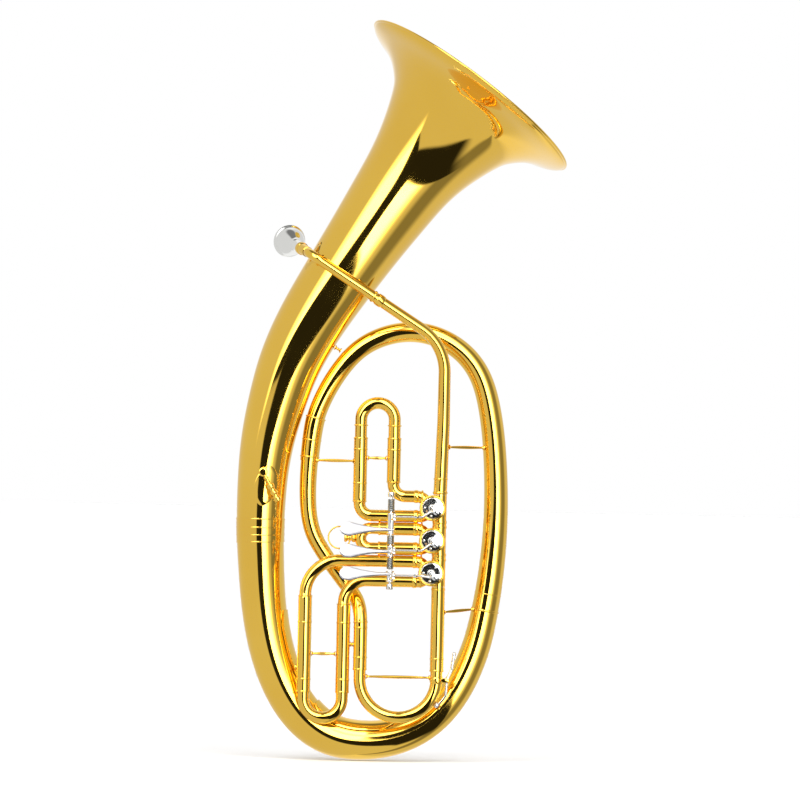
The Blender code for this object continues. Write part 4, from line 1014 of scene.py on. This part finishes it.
def build_braces():
    left, right = FIRST_LEGS
    braces = [
        ("branch", at(-72.6, 0, 352.0), 10.2, in_row(left, 352.0), SLEEVE_RADIUS),
        ("first", in_row(left, 356.0), SLEEVE_RADIUS, in_row(right, 356.0),
         SLEEVE_RADIUS),
        ("leadpipe", at(83.0, VALVE_Y - 0.7, 370.5), 7.9, at(143.6, 0, 370.5), 13.6),
        ("main", in_row(MAIN_X, 177.0), SLEEVE_RADIUS, at(136.9, 0, 183.0), 16.7),
        ("third", in_row(THIRD_LEGS[0], 126.5), SLEEVE_RADIUS,
         in_row(THIRD_LEGS[1], 126.5), SLEEVE_RADIUS),
        ("bell", at(-9.3, -53.4, 549.6), 7.8, at(-37.5, 1.2, 571.5), 43.6)]
    for name, start, start_radius, end, end_radius in braces:
        add_brass(f"stay_{name}", [brace_shape(start, start_radius, end, end_radius)],
                  f"brace_{name}")
    ends = (in_row(TUNING_LEGS[0], 101.0), in_row(TUNING_LEGS[1], 101.0))
    add_brass("stay_tuning", [brace_shape(ends[0], SLIDE_RADIUS, ends[1], SLIDE_RADIUS)],
              "brace_tuning", body="tuning_slide")
    small = [
        brace_shape(at(-98.0, 0, 110.0), 25.4, in_row(THIRD_LEGS[0], 110.0), 8.0),
        brace_shape(in_row(THIRD_LEGS[1], 138.0), 8.0, in_row(TUNING_LEGS[0], 138.0),
                    8.0, 0.1),
        brace_shape(at(-79.8, 0, 503.0), 39.0, at(-28.0, 0, 475.0), 11.2)]
    add_brass("small_stays", small)


# ---- stage, light and camera ----

# How bright each part of the studio's walls is, where the camera's own white is 1.
WALL_LEVEL = 0.72
BEHIND_LEVEL = 0.95            # behind the instrument
RIGHT_WALL_LEVEL = 0.26
CEILING_LEVEL = 0.20
LEFT_PANEL_LEVEL = 5.5
RIGHT_PANEL_LEVEL = 6.5
TOP_PANEL_LEVEL = 4.0
GAP_LEVEL = 0.02               # the dark gap between the panels

FLOOR_REACH = 30.0             # metres
FLOOR_GAP = 0.0005             # metres under the instrument, so that the two never mix
OVERHEAD_SIDE = 2.4            # metres
OVERHEAD_PLACE = (0.0, -0.4, 2.6)
OVERHEAD_WATTS = 18.0

VIEW_WIDTH = 936.0             # what the picture spans at the instrument, in millimetres
VIEW_CENTRE = (32.1, 0.0, 424.3)
LENS = 500.0                   # long, so that the view is almost parallel
ROLL = math.radians(-1.2)


def build_studio():
    """A white room: bright panels beside a dark gap where the photographer stands."""
    world = bpy.data.worlds.new("studio")
    bpy.context.scene.world = world
    world.use_nodes = True
    nodes, links = world.node_tree.nodes, world.node_tree.links
    nodes.clear()

    def value(operation, *inputs):
        """One math node; each input is a number or another node's output."""
        node = nodes.new("ShaderNodeMath")
        node.operation = operation
        for slot, given in zip(node.inputs, inputs):
            if isinstance(given, (int, float)):
                slot.default_value = given
            else:
                links.new(given, slot)
        return node.outputs[0]

    def times(first, second):
        return value("MULTIPLY", first, second)

    def rising(source, low, high):
        """0 below low and 1 above high, with a smooth step between."""
        step = nodes.new("ShaderNodeMapRange")
        step.interpolation_type = "SMOOTHSTEP"
        step.inputs["From Min"].default_value = low
        step.inputs["From Max"].default_value = high
        links.new(source, step.inputs["Value"])
        return step.outputs["Result"]

    def opposite(share):
        return value("SUBTRACT", 1.0, share)

    def band(source, rise, fall):
        """1 between two edges; each edge is given by where it starts and where it ends."""
        return times(rising(source, *rise), opposite(rising(source, *fall)))

    def blend(base, level, share):
        return value("MULTIPLY_ADD", value("SUBTRACT", level, base), share, base)

    # Angles in degrees: azimuth from the camera's side, growing to the right, and elevation.
    coordinates = nodes.new("ShaderNodeTexCoord")
    parts = nodes.new("ShaderNodeSeparateXYZ")
    links.new(coordinates.outputs["Generated"], parts.inputs["Vector"])
    x, y, z = parts.outputs
    azimuth = times(value("ARCTAN2", x, times(y, -1.0)), 180 / math.pi)
    elevation = times(value("ARCSINE", z), 180 / math.pi)
    below = value("MINIMUM", elevation, 0.0)
    just_above = value("MINIMUM", value("MAXIMUM", elevation, 0.0), 4.0)

    level = blend(WALL_LEVEL, BEHIND_LEVEL, rising(value("ABSOLUTE", azimuth), 150.0, 172.0))
    level = blend(level, RIGHT_WALL_LEVEL, band(azimuth, (44.0, 58.0), (80.0, 106.0)))
    level = blend(level, CEILING_LEVEL, rising(elevation, 56.0, 72.0))

    slanted = value("MULTIPLY_ADD", azimuth, -0.375, elevation)
    left_panel = times(band(azimuth, (-50.0, -32.0), (-11.0, -8.5)),
                       times(rising(slanted, 17.5, 21.0), opposite(rising(elevation, 50.0, 64.0))))
    level = blend(level, LEFT_PANEL_LEVEL, left_panel)

    leaning = value("MULTIPLY_ADD", below, 1.4, azimuth)
    gap_end = rising(leaning, 2.5, 5.0)
    right_panel = times(times(gap_end, opposite(rising(azimuth, 20.0, 48.0))),
                        band(elevation, (-75.0, -60.0), (50.0, 64.0)))
    level = blend(level, RIGHT_PANEL_LEVEL, times(right_panel, right_panel))

    top_panel = times(band(azimuth, (-26.0, -16.0), (16.0, 28.0)),
                      band(elevation, (25.0, 29.0), (33.0, 44.0)))
    level = blend(level, TOP_PANEL_LEVEL, top_panel)

    widening = value("MULTIPLY_ADD", below, 0.9, value("MULTIPLY_ADD", just_above, 4.5, azimuth))
    gap = times(times(rising(widening, -23.0, -19.0), opposite(gap_end)),
                band(elevation, (-55.0, -45.0), (21.0, 27.0)))
    level = blend(level, GAP_LEVEL, times(gap, opposite(left_panel)))

    # The camera itself sees plain white.
    level = blend(level, 1.0, nodes.new("ShaderNodeLightPath").outputs["Is Camera Ray"])
    background = nodes.new("ShaderNodeBackground")
    background.inputs["Color"].default_value = (1.0, 1.0, 1.0, 1.0)
    links.new(level, background.inputs["Strength"])
    output = nodes.new("ShaderNodeOutputWorld")
    links.new(background.outputs["Background"], output.inputs["Surface"])


def build_floor():
    """A pale floor that takes the shadow but stays out of reflections."""
    mesh = bpy.data.meshes.new("floor")
    level = CAD_BOX[0].z - FLOOR_GAP
    corners = [(x * FLOOR_REACH, y * FLOOR_REACH, level)
               for x, y in ((-1, -1), (1, -1), (1, 1), (-1, 1))]
    mesh.from_pydata(corners, [], [(0, 1, 2, 3)])
    floor = bpy.data.objects.new("floor", mesh)
    bpy.context.scene.collection.objects.link(floor)
    material = bpy.data.materials.new("pale_floor")
    material.use_nodes = True
    shader = material.node_tree.nodes["Principled BSDF"]
    shader.inputs["Base Color"].default_value = (0.9, 0.9, 0.9, 1.0)
    shader.inputs["Roughness"].default_value = 0.9
    mesh.materials.append(material)
    floor.visible_glossy = False


def build_lights():
    """A soft panel overhead lights the floor and the pieces that look up."""
    data = bpy.data.lights.new("overhead_panel", "AREA")
    data.shape = "RECTANGLE"
    data.size = data.size_y = OVERHEAD_SIDE
    data.energy = OVERHEAD_WATTS
    panel = bpy.data.objects.new("overhead_panel", data)
    panel.location = OVERHEAD_PLACE
    panel.visible_glossy = False
    bpy.context.scene.collection.objects.link(panel)


def build_camera():
    """Level with the middle of the instrument, far off, and rolled a little clockwise."""
    data = bpy.data.cameras.new("camera")
    data.lens = LENS
    camera = bpy.data.objects.new("camera", data)
    bpy.context.scene.collection.objects.link(camera)
    distance = VIEW_WIDTH * MM * LENS / data.sensor_width
    camera.location = at(*VIEW_CENTRE) + FRONT * distance
    camera.rotation_euler = (Matrix.Rotation(ROLL, 3, "Y")
                             @ Matrix.Rotation(math.pi / 2, 3, "X")).to_euler()
    data.clip_end = 200.0      # metres, well past the camera's distance
    bpy.context.scene.camera = camera
    bpy.context.scene.view_settings.view_transform = "Standard"


def finish_hidden_nodes():
    """The CAD nodes that stay shown, inside the valves, get the brass finish."""
    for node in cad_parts.values():
        if not node.hide_render:
            node.data.materials.clear()
            node.data.materials.append(GOLD)


build_cone_tubing()
build_guards()
build_valves()
build_first_slide()
build_second_slide()
build_third_slide()
build_tuning_slide()
build_leadpipe()
build_mouthpiece()
build_water_key()
build_lyre_holder()
build_braces()
finish_hidden_nodes()
build_studio()
build_floor()
build_lights()
build_camera()
